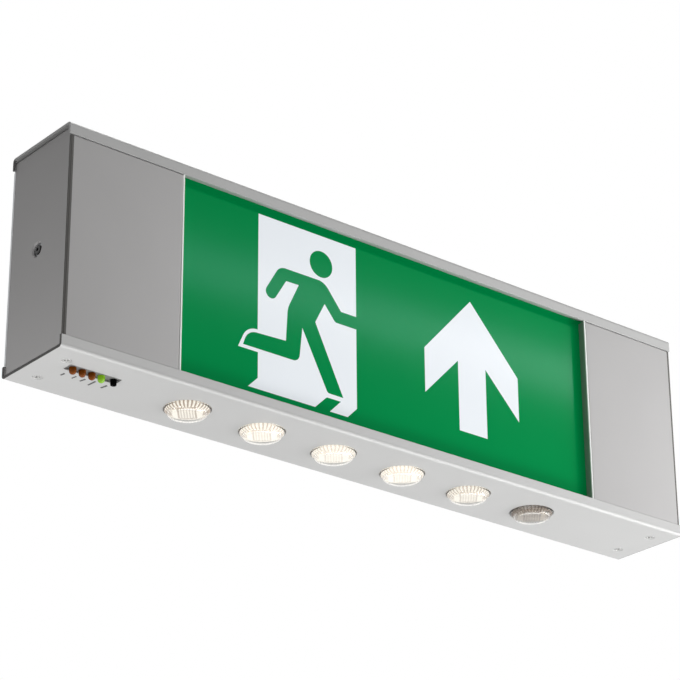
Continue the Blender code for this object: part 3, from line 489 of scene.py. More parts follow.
@dataclass(frozen=True)
class Finish:
    """A surface finish: its colour, gloss and fine texture."""

    colour: Colour
    roughness: float
    metallic: float = 0.0
    grain: Grain = Grain.MOULDED
    grain_depth: float = 0.00001
    mottle: float = 0.06
    mottle_scale: float = 30.0
    gloss_spread: float = 0.08
    spangle: float = 0.0
    specular: float = 0.5
    gloss_tint: Colour = (1.0, 1.0, 1.0)
    transmission: float = 0.0
    glow: float = 0.0
    edge_fade: float = 0.0
    shaded_cut_end: ShadedCutEnd | None = None
    # Strength of the painted shade of an optic's moulded relief
    relief: float = 0.0

    def material(self, name: str, effects: Effects, half_height: float) -> bpy.types.Material:
        """Makes the finish's material.

        Args:
            name: Name of the material.
            effects: The shared node groups.
            half_height: Half the light's height, for finishes that glow.

        Returns:
            The material.
        """
        made = bpy.data.materials.new(name)
        made.use_nodes = True
        graph = Graph(made.node_tree)
        colour = self._colour(graph, effects)
        rough = graph.use(effects.gloss, {
            "Roughness": self.roughness,
            "Scale": GLOSS_SCALE,
            "Spread": self.gloss_spread,
        })
        stretch, scale = self.grain.value
        grain = graph.use(effects.grain, {"Stretch": stretch, "Scale": scale})
        bump = graph.add("ShaderNodeBump", {"Distance": self.grain_depth, "Height": grain})
        shader = graph.add("ShaderNodeBsdfPrincipled", {
            "Base Color": colour,
            "Roughness": rough,
            "Metallic": self.metallic,
            "Normal": bump.outputs[0],
            "Specular IOR Level": self.specular,
            "Specular Tint": (*self.gloss_tint, 1.0),
            "Transmission Weight": self.transmission,
            "IOR": PLASTIC_INDEX,
        })
        if self.glow:
            glow = graph.use(effects.backlight, {
                "Colour": colour,
                "Half Height": half_height,
                "Edge Fade": self.edge_fade,
            })
            graph.feed(shader.inputs["Emission Color"], glow)
            graph.feed(shader.inputs["Emission Strength"], self.glow)
        graph.add("ShaderNodeOutputMaterial", {"Surface": shader.outputs[0]})
        return made

    def _colour(self, graph: Graph, effects: Effects) -> NodeSocket:
        """Mixes the finish's colour with its slow drift, and the painted shade of its cut ends or of its
        relief, or its crystals.

        Args:
            graph: The material's graph.
            effects: The shared node groups.

        Returns:
            The colour.
        """
        colour = graph.use(effects.drift, {
            "Colour": (*self.colour, 1.0),
            "Scale": self.mottle_scale,
            "Amount": self.mottle,
        })
        # Painted shade: the cut ends of rails and panels are darkened where shade falls on them
        if self.shaded_cut_end:
            mask = graph.use(effects.shaded_cut_ends, {
                "Beyond": self.shaded_cut_end.beyond,
                "Front": self.shaded_cut_end.front,
                "Back": self.shaded_cut_end.back,
                "Lower Half": float(self.shaded_cut_end.lower_half),
            })
            return graph.tint(mask, colour, (*self.shaded_cut_end.colour, 1.0))
        # Painted shade of an optic's moulded relief
        if self.relief:
            return graph.use(effects.relief, {"Colour": colour, "Contrast": self.relief})
        if self.spangle:
            return graph.use(effects.spangle, {
                "Colour": colour,
                "Scale": SPANGLE_SCALE,
                "Amount": self.spangle,
            })
        return colour


FINISHES: dict[str, Finish] = {
    "rail_aluminium": Finish(
        (0.50, 0.50, 0.495), 0.42, metallic=0.12, grain=Grain.DRAWN, grain_depth=0.000012, specular=0.4,
        # Painted shade on the rail's cut ends, at the rear and all over the lower half
        shaded_cut_end=ShadedCutEnd(beyond=0.2897, back=-0.0025, lower_half=True),
    ),
    "panel_aluminium": Finish(
        (0.49, 0.482, 0.48), 0.46, metallic=0.05, grain=Grain.SHEET, grain_depth=0.000006, specular=0.3,
        # Painted shade on the front of the panels' cut ends
        shaded_cut_end=ShadedCutEnd(beyond=0.2866, front=-0.0690, colour=(0.10, 0.096, 0.09)),
    ),
    "zinc_steel": Finish(
        (0.42, 0.43, 0.44), 0.40, metallic=0.85, grain=Grain.SHEET, grain_depth=0.000006, spangle=0.18,
    ),
    "screw_steel": Finish(
        (0.50, 0.50, 0.49), 0.24, metallic=1.0, grain=Grain.SHEET, grain_depth=0.000004,
    ),
    "black_steel": Finish(
        (0.035, 0.035, 0.035), 0.38, metallic=0.7, grain=Grain.SHEET, grain_depth=0.000004,
    ),
    "carrier_aluminium": Finish((0.45, 0.45, 0.45), 0.40, metallic=0.85, grain=Grain.DRAWN),
    "sign_print": Finish(
        (0.0, 0.20, 0.050), 0.12, grain=Grain.FILM, grain_depth=0.000002, mottle=0.03, gloss_spread=0.02,
        specular=0.027, gloss_tint=(0.20, 1.0, 0.9), glow=0.43, edge_fade=0.3,
    ),
    "guide_acrylic": Finish((0.92, 0.93, 0.92), 0.15, grain=Grain.FILM),
    "reflector_white": Finish((0.90, 0.90, 0.90), 0.60),
    "board_white": Finish((0.86, 0.86, 0.83), 0.50),
    "board_green": Finish((0.03, 0.20, 0.07), 0.45),
    "lens_clear": Finish(
        (1.0, 0.99, 0.96), 0.04, grain=Grain.FILM, grain_depth=0.000002, transmission=1.0,
    ),
    "bezel_grey": Finish((0.17, 0.17, 0.165), 0.50, grain_depth=0.000012),
    "lamp_amber": Finish(
        (0.20, 0.050, 0.003), 0.10, grain=Grain.FILM, grain_depth=0.000002, specular=0.1,
    ),
    "lamp_green": Finish(
        (0.16, 0.34, 0.012), 0.10, grain=Grain.FILM, grain_depth=0.000002, specular=0.2, glow=0.5,
    ),
    "button_black": Finish((0.004, 0.004, 0.004), 0.65, grain_depth=0.000015, specular=0.0),
    "battery_wrap": Finish((0.03, 0.09, 0.30), 0.25, grain=Grain.FILM),
    "gear_plastic": Finish((0.72, 0.71, 0.66), 0.50),
    "grommet_rubber": Finish((0.02, 0.02, 0.02), 0.75),
    "lead_jacket": Finish((0.08, 0.08, 0.08), 0.55),
}

# Finishes that differ from their slot's own
PRINT_WHITE = Finish(
    (0.43, 0.45, 0.47), 0.12, grain=Grain.FILM, grain_depth=0.000002, mottle=0.02, gloss_spread=0.02,
    specular=0.022, glow=1.2, edge_fade=0.1,
)
# A darker copy of the rail finish for the top rail: painted shade, as less light from below reaches it than
# the bottom rail
SHADED_TOP_RAIL = replace(FINISHES["rail_aluminium"], colour=(0.43, 0.43, 0.425), specular=0.3)
LEGEND_INK = Finish((0.05, 0.05, 0.05), 0.60)
# A pale strip that glows a little: a painted highlight along the inner edge of each blank panel
HIGHLIGHT_STRIP = Finish(
    (0.72, 0.73, 0.71), 0.35, metallic=0.1, grain=Grain.DRAWN, grain_depth=0.000004, glow=0.10,
)


class Palette:
    """Materials by slot, each made once."""

    def __init__(self, effects: Effects, half_height: float) -> None:
        """Starts empty.

        Args:
            effects: The shared node groups.
            half_height: Half the light's height.
        """
        self._effects = effects
        self._half_height = half_height
        self._made: dict[str, bpy.types.Material] = {}

    def get(self, name: str, finish: Finish | None = None) -> bpy.types.Material:
        """Gives a material, and makes it at its first use.

        Args:
            name: A slot of the record, or the name of a finish given with it.
            finish: The finish, where it isn't a slot's own.

        Returns:
            The material.
        """
        if name not in self._made:
            chosen = finish or FINISHES[name]
            self._made[name] = chosen.material(name, self._effects, self._half_height)
        return self._made[name]


def rounded(corners: Iterable[Corner], steps: int = 8) -> list[Point]:
    """Turns corners with radii into an outline with arcs.

    Args:
        corners: The across and up place of each corner, and its radius.
        steps: Arc segments at each round corner.

    Returns:
        The outline's points.
    """
    corners = list(corners)
    points: list[Point] = []
    for index, (across, up, radius) in enumerate(corners):
        corner = Vector((across, up))
        if not radius:
            points.append((across, up))
            continue
        before = (Vector(corners[index - 1][:2]) - corner).normalized()
        after = (Vector(corners[(index + 1) % len(corners)][:2]) - corner).normalized()
        half_angle = before.angle(after) / 2
        centre = corner + (before + after).normalized() * radius / math.sin(half_angle)
        start = corner + before * radius / math.tan(half_angle) - centre
        end = corner + after * radius / math.tan(half_angle) - centre
        turn = math.atan2(start.x * end.y - start.y * end.x, start.dot(end))
        for step in range(steps + 1):
            place = centre + Matrix.Rotation(turn * step / steps, 2) @ start
            points.append((place.x, place.y))
    return points


def lofted(rings: Sequence[Sequence[Vector]]) -> BMesh:
    """Makes a closed shell through rings of equal point counts.

    Args:
        rings: Points of each ring, from one end to the other.

    Returns:
        The shell, with a flat face at both ends.
    """
    shell = bmesh.new()
    loops = [[shell.verts.new(point) for point in ring] for ring in rings]
    for lower, upper in zip(loops, loops[1:]):
        for index, corner in enumerate(lower):
            shell.faces.new((lower[index - 1], corner, upper[index], upper[index - 1]))
    shell.faces.new(loops[0])
    shell.faces.new(loops[-1])
    bmesh.ops.recalc_face_normals(shell, faces=shell.faces)
    return shell


def cuboid(across: Point, deep: Point, tall: Point) -> BMesh:
    """Makes a box between two places along each axis.

    Args:
        across: Both places along X.
        deep: Both places along Y.
        tall: Both places along Z.

    Returns:
        The box.
    """
    return lofted([
        [Vector((x, y, z)) for x, y in (
            (across[0], deep[0]), (across[1], deep[0]), (across[1], deep[1]), (across[0], deep[1]),
        )]
        for z in tall
    ])


def turned(profile: Iterable[Point], sides: int) -> BMesh:
    """Makes a round shell about Z.

    Args:
        profile: Radius and height of each ring, none on the axis.
        sides: Sides of each ring.

    Returns:
        The shell.
    """
    angles = [math.tau * side / sides for side in range(sides)]
    return lofted([
        [Vector((radius * math.cos(angle), radius * math.sin(angle), height)) for angle in angles]
        for radius, height in profile
    ])


def extruded(outline: Sequence[Point], near: float, far: float) -> BMesh:
    """Makes a plate in the XZ plane.

    Args:
        outline: X and Z of each point.
        near: Y of one face.
        far: Y of the other face.

    Returns:
        The plate.
    """
    return lofted([[Vector((x, y, z)) for x, z in outline] for y in (near, far)])


def as_object(name: str, shell: BMesh) -> Object:
    """Turns a shell into an object with smooth faces and sharp edges.

    Args:
        name: Name of the object.
        shell: The shell, which is freed.

    Returns:
        The object, linked to the scene.
    """
    mesh = bpy.data.meshes.new(name)
    shell.to_mesh(mesh)
    shell.free()
    mesh.shade_smooth()
    mesh.set_sharp_from_angle(angle=SMOOTH_ANGLE)
    made = bpy.data.objects.new(name, mesh)
    bpy.context.scene.collection.objects.link(made)
    return made


class Operation(Enum):
    """What one shell does to another."""

    JOIN = "UNION"
    CUT = "DIFFERENCE"


def combined(name: str, base: BMesh, tool: BMesh, operation: Operation) -> BMesh:
    """Joins two shells, or cuts one with the other.

    Args:
        name: Name for the objects in between.
        base: The first shell, which is freed.
        tool: The second shell, which is freed.
        operation: What the second shell does to the first.

    Returns:
        The resulting shell.
    """
    first = as_object(name, base)
    second = as_object(name + "_tool", tool)
    step = first.modifiers.new("cut", "BOOLEAN")
    step.operation = operation.value
    step.solver = "EXACT"
    step.object = second
    settled = first.evaluated_get(bpy.context.evaluated_depsgraph_get())
    shell = bmesh.new()
    shell.from_mesh(settled.to_mesh())
    settled.to_mesh_clear()
    for spent in (first, second):
        mesh = spent.data
        bpy.data.objects.remove(spent)
        bpy.data.meshes.remove(mesh)
    return shell


def middle(node: str) -> Vector:
    """The middle of a CAD node's box."""
    low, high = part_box(node)
    return (low + high) / 2


def quarter(steps: int, first: int = 0) -> list[float]:
    """Angles of even steps over a quarter turn, from the first step on."""
    return [math.pi / 2 * step / steps for step in range(first, steps + 1)]


@dataclass
class SubAssembly:
    """Pieces that are built and dressed together."""

    palette: Palette
    nodes: dict[str, Object]

    def dress(self, slot: str, names: Iterable[str], finish: tuple[str, Finish] | None = None) -> None:
        """Gives CAD nodes their slot's finish, or a variant of it.

        Args:
            slot: The record's material slot.
            names: The nodes.
            finish: The variant's name and finish, where it isn't the slot's own.
        """
        material = self.palette.get(*finish) if finish else self.palette.get(slot)
        for name in names:
            node = self.nodes[name]
            for material_slot in node.material_slots:
                material_slot.material = material
            log.info("dressed %s in %s", name, slot)

    def place(
        self,
        made: Object,
        slot: str,
        body: str = "housing",
        stands_for: Sequence[str] = (),
        finish: tuple[str, Finish] | None = None,
    ) -> Object:
        """Gives a new piece its finish and its body.

        Args:
            made: The piece, in place.
            slot: The record's material slot that it takes its finish from.
            body: The CAD body that it moves with.
            stands_for: The CAD nodes that it replaces.
            finish: Name and finish, where it differs from the slot's own.

        Returns:
            The piece.
        """
        material = self.palette.get(*finish) if finish else self.palette.get(slot)
        made.data.materials.clear()
        made.data.materials.append(material)
        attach(made, body)
        if stands_for:
            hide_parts(*stands_for)
        log.info("built %s, %d faces, on %s", made.name, len(made.data.polygons), body)
        return made


@dataclass
class Housing(SubAssembly):
    """Rails, end plates and back plate, which keep their CAD shapes."""

    def build(self) -> None:
        """Dresses the sheet and the extrusions."""
        self.dress("rail_aluminium", ["bottom_rail"])
        # The top rail takes the darker copy of the rail finish: painted shade
        self.dress("rail_aluminium", ["top_rail"], ("shaded_top_rail_aluminium", SHADED_TOP_RAIL))
        self.dress("panel_aluminium", ["left_end_plate", "right_end_plate"])
        self.dress("zinc_steel", ["back_plate"])


@dataclass
class BlankPanels(SubAssembly):
    """Panels beside the sign, with rounded edges, a return wall and a lip behind each flange."""

    wall: float = 0.0020
    return_wall: float = 0.0015
    lip_gap: float = 0.0023
    lip_wall: float = 0.0015
    lip_reach: float = 0.0024
    lip_margin: float = 0.0023
    seam: float = 0.00005
    groove: float = 0.00008
    edge_round: float = 0.0016
    highlight_strip_width: float = 0.0013
    highlight_strip_depth: float = 0.0012
    highlight_strip_round: float = 0.0004
    end_round: float = 0.0008
    segments: int = 5

    def build(self) -> None:
        """Builds each panel in the place of its CAD node."""
        for side, name in ((-1, "left_blank_panel"), (1, "right_blank_panel")):
            self._build_panel(side, name)

    def _build_panel(self, side: int, name: str) -> None:
        """Builds one panel and the pale strip at its inner edge, a painted highlight.

        Args:
            side: -1 for the left panel and 1 for the right one.
            name: The CAD node that it replaces.
        """
        low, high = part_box(name)
        front = low.y
        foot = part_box("bottom_rail")[1].z + self.seam
        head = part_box("top_rail")[0].z - self.groove
        inner, outer = sorted((low.x, high.x), key=abs)
        shell = cuboid((low.x, high.x), (front, front + self.wall), (foot, head))
        face = front + self.seam
        self._round(shell, lambda end: end.z > head - self.seam and end.y < face, self.edge_round)
        for edge, radius in ((inner, self.edge_round), (outer, self.end_round)):
            self._round(shell, lambda end, edge=edge: abs(end.x - edge) < self.seam and end.y < face, radius)
        reveal = cuboid(
            (inner, inner + side * self.return_wall), (front + self.edge_round, high.y),
            (foot + self.seam, head - self.seam),
        )
        shell = combined(name, shell, reveal, Operation.JOIN)
        lip_span = (inner + side * self.seam, outer - side * self.lip_margin)
        for edge, upward in ((foot, -1), (head, 1)):
            root = cuboid(
                lip_span, (front + self.wall / 2, front + self.lip_gap + self.lip_wall),
                (edge - upward * self.lip_wall, edge - upward * self.seam),
            )
            lip = cuboid(
                lip_span, (front + self.lip_gap, front + self.lip_gap + self.lip_wall),
                (edge - upward * self.lip_wall, edge + upward * self.lip_reach),
            )
            for part in (root, lip):
                shell = combined(name, shell, part, Operation.JOIN)
        self.place(as_object(f"{name}_detail", shell), "panel_aluminium", stands_for=[name])
        # A pale strip along the panel's inner edge, which glows a little: a painted highlight on the rounded
        # edge
        near, far = face, front + self.highlight_strip_depth
        tip = inner - side * self.highlight_strip_width
        outline = rounded([
            (inner, near, 0), (tip, near, self.highlight_strip_round), (tip, far, self.highlight_strip_round), (inner, far, 0),
        ])
        highlight_strip = lofted([[Vector((x, y, z)) for x, y in outline] for z in (foot, head)])
        made = as_object(f"{name}_trim", highlight_strip)
        self.place(made, "panel_aluminium", finish=("painted_highlight_strip", HIGHLIGHT_STRIP))

    def _round(self, shell: BMesh, belongs: Callable[[Vector], bool], radius: float) -> None:
        """Rounds the edges of a shell whose both ends belong.

        Args:
            shell: The shell.
            belongs: Tells of a place whether it belongs to the edges meant.
            radius: Radius of the rounding.
        """
        edges = [edge for edge in shell.edges if all(belongs(corner.co) for corner in edge.verts)]
        bmesh.ops.bevel(shell, geom=edges, offset=radius, segments=self.segments, affect="EDGES", profile=0.5)


@dataclass
class RailScrews(SubAssembly):
    """Countersunk screws with a cross recess, four in each rail."""

    sides: int = 48
    sink: float = 0.00030
    head_depth: float = 0.0014
    edge: float = 0.00012
    shank_radius: float = 0.0019
    recess_reach: float = 0.0022
    recess_width: float = 0.00085
    recess_depth: float = 0.0011
    recess_turn: float = math.radians(25)
    recess_shares: tuple[float, float] = (0.35, 1.35)
    point_share: float = 0.2
    crown_share: float = 0.1

    def build(self) -> None:
        """Builds each screw in the place of its CAD node."""
        for rail, upright in (("bottom", -1), ("top", 1)):
            for number in range(1, 5):
                self._build_screw(f"{rail}_screw_{number}", upright, number)

    def _build_screw(self, node: str, upright: int, number: int) -> None:
        """Builds one screw.

        Args:
            node: The CAD node that it replaces.
            upright: 1 for a head that faces up, and -1 for one that faces down.
            number: Its number in the rail, which turns the recess.
        """
        low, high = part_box(node)
        head_radius = (high.x - low.x) / 2 - self.sink
        length = high.z - low.z - self.sink
        shell = turned([
            (self.shank_radius * self.point_share, -length),
            (self.shank_radius, -length + self.shank_radius),
            (self.shank_radius, -self.head_depth),
            (head_radius, -self.edge),
            (head_radius - self.edge, 0),
            (head_radius * self.crown_share, 0),
        ], self.sides)
        shell = combined(node, shell, self._recess(), Operation.CUT)
        face = (high.z if upright > 0 else low.z) - upright * self.sink
        spin = Matrix.Rotation(self.recess_turn * number, 4, "Z")
        flip = Matrix.Rotation(0 if upright > 0 else math.pi, 4, "X")
        centre = middle(node)
        shell.transform(Matrix.Translation((centre.x, centre.y, face)) @ flip @ spin)
        self.place(as_object(f"{node}_detail", shell), "screw_steel", stands_for=[node])

    def _recess(self) -> BMesh:
        """Makes the four tapered wings that cut the cross.

        Returns:
            The wings, as one shell.
        """
        wide = self.recess_width / 2
        wings = []
        for turn in (0, math.pi / 2):
            rings = []
            for height, share in zip((-self.recess_depth, self.recess_depth), self.recess_shares):
                reach = self.recess_reach * share
                ring = [Vector((x, y, height)) for x, y in (
                    (-reach, -wide), (reach, -wide), (reach, wide), (-reach, wide),
                )]
                rings.append(ring)
            wing = lofted(rings)
            wing.transform(Matrix.Rotation(turn, 4, "Z"))
            wings.append(wing)
        return combined("recess", *wings, Operation.JOIN)


@dataclass
class ExitSign(SubAssembly):
    """Edge-lit pane with a running figure at a door and an arrow, printed on its face."""

    film: float = 0.00004
    bite: float = 0.00001

    # Corners of the print in millimetres from the light's middle: across, up and radius
    door: tuple[Corner, ...] = (
        (-123.1, 69.8, 0), (-33.1, 69.8, 0), (-33.1, -58.2, 0), (-41.7, -66.8, 0), (-58.1, -66.8, 0),
        (-47.9, -56.6, 0), (-60.9, -56.6, 3), (-71.5, -66.8, 0), (-131.1, -66.8, 0), (-122.7, -58.4, 0),
        (-122.7, -38.8, 0), (-140.1, -38.8, 0), (-132.3, -21.6, 13), (-123.1, -21.6, 0),
    )
    runner: tuple[Corner, ...] = (
        (-103.9, 33.5, 9), (-118, 9.4, 4.8), (-109.5, 4.5, 4.8), (-97.9, 23.7, 0.5), (-86.4, 23.9, 0),
        (-96.4, 2.8, 20), (-97.9, -23.1, 0), (-131.9, -24.5, 11), (-135.8, -36.2, 0), (-86, -36.2, 6),
        (-83.1, -8.8, 0), (-60.1, -53, 3), (-45.7, -53.2, 0), (-71.3, -0.8, 1), (-62.6, 16, 0),
        (-52.8, 4.2, 3), (-32.5, 4.2, 0), (-32.5, 14.2, 0), (-47.3, 14.2, 1), (-62.9, 33.5, 12),
    )
    arrow: tuple[Corner, ...] = (
        (79.7, 59.8, 0), (126.7, 8.8, 0), (126.7, -27.2, 0), (93.5, 7.1, 0), (93.5, -49.2, 0),
        (65.8, -49.2, 0), (65.8, 7.1, 0), (32.6, -27.2, 0), (32.6, 8.8, 0),
    )

    # Middle and radius of the runner's head in millimetres, and its corner count
    head: Corner = (-65.8, 46.8, 10.5)
    head_corners: int = 64

    def build(self) -> None:
        """Dresses the pane and lays the print on it."""
        self.dress("sign_print", ["sign_pane"])
        self.dress("guide_acrylic", ["light_guide"])
        self.dress("reflector_white", ["reflector_sheet"])
        self.dress("board_white", ["sign_led_strip"])
        across, up, radius = self.head
        turns = [math.tau * step / self.head_corners for step in range(self.head_corners)]
        circle = [(across + radius * math.cos(turn), up + radius * math.sin(turn), 0.0) for turn in turns]
        white = ("print_white", PRINT_WHITE)
        for name, corners, layer, finish in (
            ("door_print", self.door, 1, white),
            ("arrow_print", self.arrow, 1, white),
            ("runner_print", self.runner, 2, None),
            ("runner_head_print", circle, 2, None),
        ):
            self.place(as_object(name, self._film(corners, layer)), "sign_print", finish=finish)

    def _film(self, corners: Sequence[Corner], layer: int) -> BMesh:
        """Makes a print film on the pane.

        Args:
            corners: Its corners in millimetres.
            layer: How many films thick it is.

        Returns:
            The film.
        """
        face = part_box("sign_pane")[0].y
        outline = [(x * MILLIMETRE, z * MILLIMETRE) for x, z in rounded(corners)]
        return extruded(outline, face - self.film * layer, face + self.bite)


@dataclass
class LensRow(SubAssembly):
    """Clear cup lenses with a fluted wall, each over a lit board."""

    count: int = 6
    flutes: int = 32
    sides: int = 96
    steps: int = 6
    flute_depth: float = 0.00035
    face_shares: tuple[float, ...] = (TIP_SHARE, 0.35, 0.7)
    wall: float = 0.0008
    collar: float = 0.0004
    edge_round: float = 0.0030
    taper: float = 0.0022
    cup_gap: float = 0.0003
    cup_wall: float = 0.0004
    cup_rise: float = 0.0034
    cup_steps: int = 12
    roughness: float = 0.5
    mottle: float = 0.02
    albedo: float = 0.12
    brightness: tuple[float, ...] = (0.84, 0.98, 0.93, 1.00, 0.84, 0.01)
    # Strength of the painted shade of each optic's relief
    shade_contrast: tuple[float, ...] = (1.2, 0.7, 0.5, 0.55, 0.8, 1.8)
    glow_colour: Colour = (1.0, 0.955, 0.86)
    # The sixth lens is unlit, yet its cup is lighter and glows faintly: painted light where the glass keeps
    # the lamps' light from it
    unlit_lens: int = 6
    unlit_colour: Colour = (2.35, 2.0, 1.65)

    def build(self) -> None:
        """Builds each lens and the boards behind it."""
        for number in range(1, self.count + 1):
            self._build_lens(number)
            self._build_glow(number)
        self.dress("board_white", [f"led_board_{number}" for number in range(1, self.count + 1)])
        self.dress("carrier_aluminium", ["led_carrier"])

    def _ring(self, radius: float, height: float, depth: float) -> list[Vector]:
        """Makes a ring whose radius swings inwards between the flutes' crests.

        Args:
            radius: Radius at the crests.
            height: Its place along Z.
            depth: How far the radius swings inwards.

        Returns:
            The ring's points.
        """
        total = self.flutes * self.steps
        ring = []
        for index in range(total):
            crest = abs(math.cos(math.pi * index / self.steps))
            reach = radius - depth * (1 - crest)
            turn = math.tau * index / total
            ring.append(Vector((reach * math.cos(turn), reach * math.sin(turn), height)))
        return ring

    def _build_lens(self, number: int) -> None:
        """Builds a lens in the place of its CAD node.

        Args:
            number: The lens's number from the left.
        """
        node = f"lens_{number}"
        low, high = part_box(node)
        rail_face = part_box("bottom_rail")[0].z
        radius = (high.y - low.y) / 2
        foot = radius - self.taper
        tip = low.z
        knee = foot - self.edge_round
        turns = quarter(self.steps)
        rings = [self._ring(foot * share, tip, 0) for share in self.face_shares]
        for turn in turns:
            reach = knee + self.edge_round * math.sin(turn)
            height = tip + self.edge_round * (1 - math.cos(turn))
            rings.append(self._ring(reach, height, self.flute_depth * math.sin(turn)))
        rings += [
            self._ring(radius - self.collar, rail_face - 2 * self.collar, self.flute_depth),
            self._ring(radius, rail_face - self.collar, 0),
            self._ring(radius, high.z, 0),
            self._ring(radius - self.wall, high.z, 0),
            self._ring(radius - self.wall, rail_face - self.collar, self.flute_depth),
        ]
        inner_round = self.edge_round - self.wall
        for turn in reversed(turns):
            reach = knee + inner_round * math.sin(turn)
            height = tip + self.edge_round - inner_round * math.cos(turn)
            rings.append(self._ring(reach, height, self.flute_depth * math.sin(turn)))
        rings.append(self._ring(foot * TIP_SHARE, tip + self.wall, 0))
        shell = lofted(rings)
        centre = middle(node)
        shell.transform(Matrix.Translation((centre.x, centre.y, 0)))
        self.place(as_object(f"{node}_optic", shell), "lens_clear", stands_for=[node])

    def _build_glow(self, number: int) -> None:
        """Builds the lit diffuser cup inside a lens, which shines through its wall and face.

        Args:
            number: The lens's number from the left.
        """
        board = f"led_board_{number}"
        low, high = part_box(board)
        lens_low, lens_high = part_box(f"lens_{number}")
        bore = (high.y - low.y) / 2 - self.wall - self.cup_gap
        floor = lens_low.z + self.wall + self.cup_gap
        top = lens_high.z - self.cup_gap
        outer = [
            (bore * math.sin(turn), floor + self.cup_rise * (1 - math.cos(turn)))
            for turn in quarter(self.cup_steps, first=1)
        ]
        inner = [(radius - self.cup_wall, height + self.cup_wall) for radius, height in reversed(outer)]
        tip = bore * TIP_SHARE
        made = as_object(f"lens_{number}_diffuser", turned([
            (tip, floor), *outer, (bore, top),
            (bore - self.cup_wall, top), *inner, (tip, floor + self.cup_wall),
        ], self.sides))
        centre = middle(board)
        made.location = (centre.x, centre.y, 0)
        # The unlit lens's faint glow is painted light
        red, green, blue = self.unlit_colour if number == self.unlit_lens else self.glow_colour
        # The cup's colour carries the painted shade of the optic's relief
        glow = Finish(
            (red * self.albedo, green * self.albedo, blue * self.albedo), self.roughness, mottle=self.mottle,
            glow=self.brightness[number - 1] / self.albedo, relief=self.shade_contrast[number - 1],
        )
        self.place(made, "board_white", finish=(f"diffuser_{number}", glow))


@dataclass
class LampSlot(SubAssembly):
    """Grey insert with three amber lamps, one lit green lamp and the test button."""

    sides: int = 48
    radius: float = 0.0025
    reach: float = 0.0079
    flange: float = 0.0010
    dome_steps: int = 10
    film: float = 0.00004
    bite: float = 0.00001

    # Corners of the marks in millimetres from the light's middle: across and out from the wall
    marks: tuple[tuple[Point, ...], ...] = (
        ((-264.2, -31.4), (-262.9, -31.0), (-262.2, -35.0), (-263.8, -35.8)),
        ((-255.5, -31.7), (-254.3, -31.3), (-253.4, -35.8), (-254.8, -36.6)),
        ((-248.7, -31.2), (-247.2, -30.8), (-246.0, -35.6), (-247.6, -36.4)),
        ((-240.6, -28.9), (-239.2, -28.5), (-238.6, -36.9), (-240.2, -37.5)),
        ((-231.3, -30.4), (-229.6, -30.0), (-228.4, -35.8), (-230.2, -36.6)),
    )

    def build(self) -> None:
        """Builds the lamps and dresses the insert and the button."""
        self.dress("bezel_grey", ["indicator_bezel"])
        self.dress("board_green", ["indicator_board"])
        self.dress("button_black", ["test_switch", "test_button"])
        for number in (1, 2, 3):
            self._build_lamp(f"amber_lamp_{number}", "lamp_amber")
        self._build_lamp("green_lamp", "lamp_green")
        for number, corners in enumerate(self.marks, start=1):
            self._build_mark(number, corners)

    def _build_lamp(self, node: str, slot: str) -> None:
        """Builds a lamp with a smooth dome in the place of its CAD node.

        Args:
            node: The CAD node.
            slot: The lamp's material slot.
        """
        low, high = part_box(node)
        centre = middle(node)
        lip = (high.x - low.x) / 2
        seat = low.z + self.reach
        dome = [
            (self.radius * math.sin(turn), low.z + self.radius * (1 - math.cos(turn)))
            for turn in quarter(self.dome_steps, first=1)
        ]
        tip = self.radius * TIP_SHARE
        shell = turned([
            (tip, low.z), *dome, (self.radius, seat), (lip, seat), (lip, seat + self.flange),
            (self.radius, high.z), (tip, high.z),
        ], self.sides)
        shell.transform(Matrix.Translation((centre.x, centre.y, 0)))
        self.place(as_object(f"{node}_dome", shell), slot, stands_for=[node])

    def _build_mark(self, number: int, corners: Sequence[Point]) -> None:
        """Prints one plain mark beside the slot on the rail's underside.

        Args:
            number: The mark's number from the left.
            corners: Its corners in millimetres.
        """
        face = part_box("bottom_rail")[0].z
        rings = [
            [Vector((x * MILLIMETRE, y * MILLIMETRE, height)) for x, y in corners]
            for height in (face - self.film, face + self.bite)
        ]
        made = as_object(f"slot_mark_{number}", lofted(rings))
        self.place(made, "rail_aluminium", finish=("legend_ink", LEGEND_INK))


@dataclass
class InnerParts(SubAssembly):
    """Tray, battery, control gear and leads, which only show where the housing is open."""

    slots: dict[str, tuple[str, ...]] = field(default_factory=lambda: {
        "zinc_steel": ("gear_tray",),
        "black_steel": ("lock_screw_left", "lock_screw_right"),
        "battery_wrap": ("battery_pack",),
        "screw_steel": ("battery_clip_left", "battery_clip_right"),
        "gear_plastic": ("control_gear", "terminal_block"),
        "grommet_rubber": ("cable_grommet",),
        "lead_jacket": ("mains_lead", "battery_lead", "lens_lead", "indicator_lead", "sign_lead"),
    })

    def build(self) -> None:
        """Dresses the inner parts."""
        for slot, names in self.slots.items():
            self.dress(slot, names)


@dataclass
class Lamp:
    """A soft studio lamp."""

    name: str
    place: tuple[float, float, float]
    aim: tuple[float, float, float]
    width: float
    height: float
    power: float
    colour: Colour = (1.0, 1.0, 1.0)
    along: tuple[float, float, float] = (1.0, 0.0, 0.0)

    def build(self) -> None:
        """Adds the lamp to the scene."""
        light = bpy.data.lights.new(self.name, "AREA")
        light.shape = "RECTANGLE"
        light.size = self.width
        light.size_y = self.height
        light.energy = self.power
        light.color = self.colour
        made = bpy.data.objects.new(self.name, light)
        made.location = self.place
        made.visible_camera = False
        back = (made.location - Vector(self.aim)).normalized()
        width = Vector(self.along)
        width = (width - back * width.dot(back)).normalized()
        made.rotation_euler = Matrix((width, back.cross(width), back)).transposed().to_euler()
        bpy.context.scene.collection.objects.link(made)


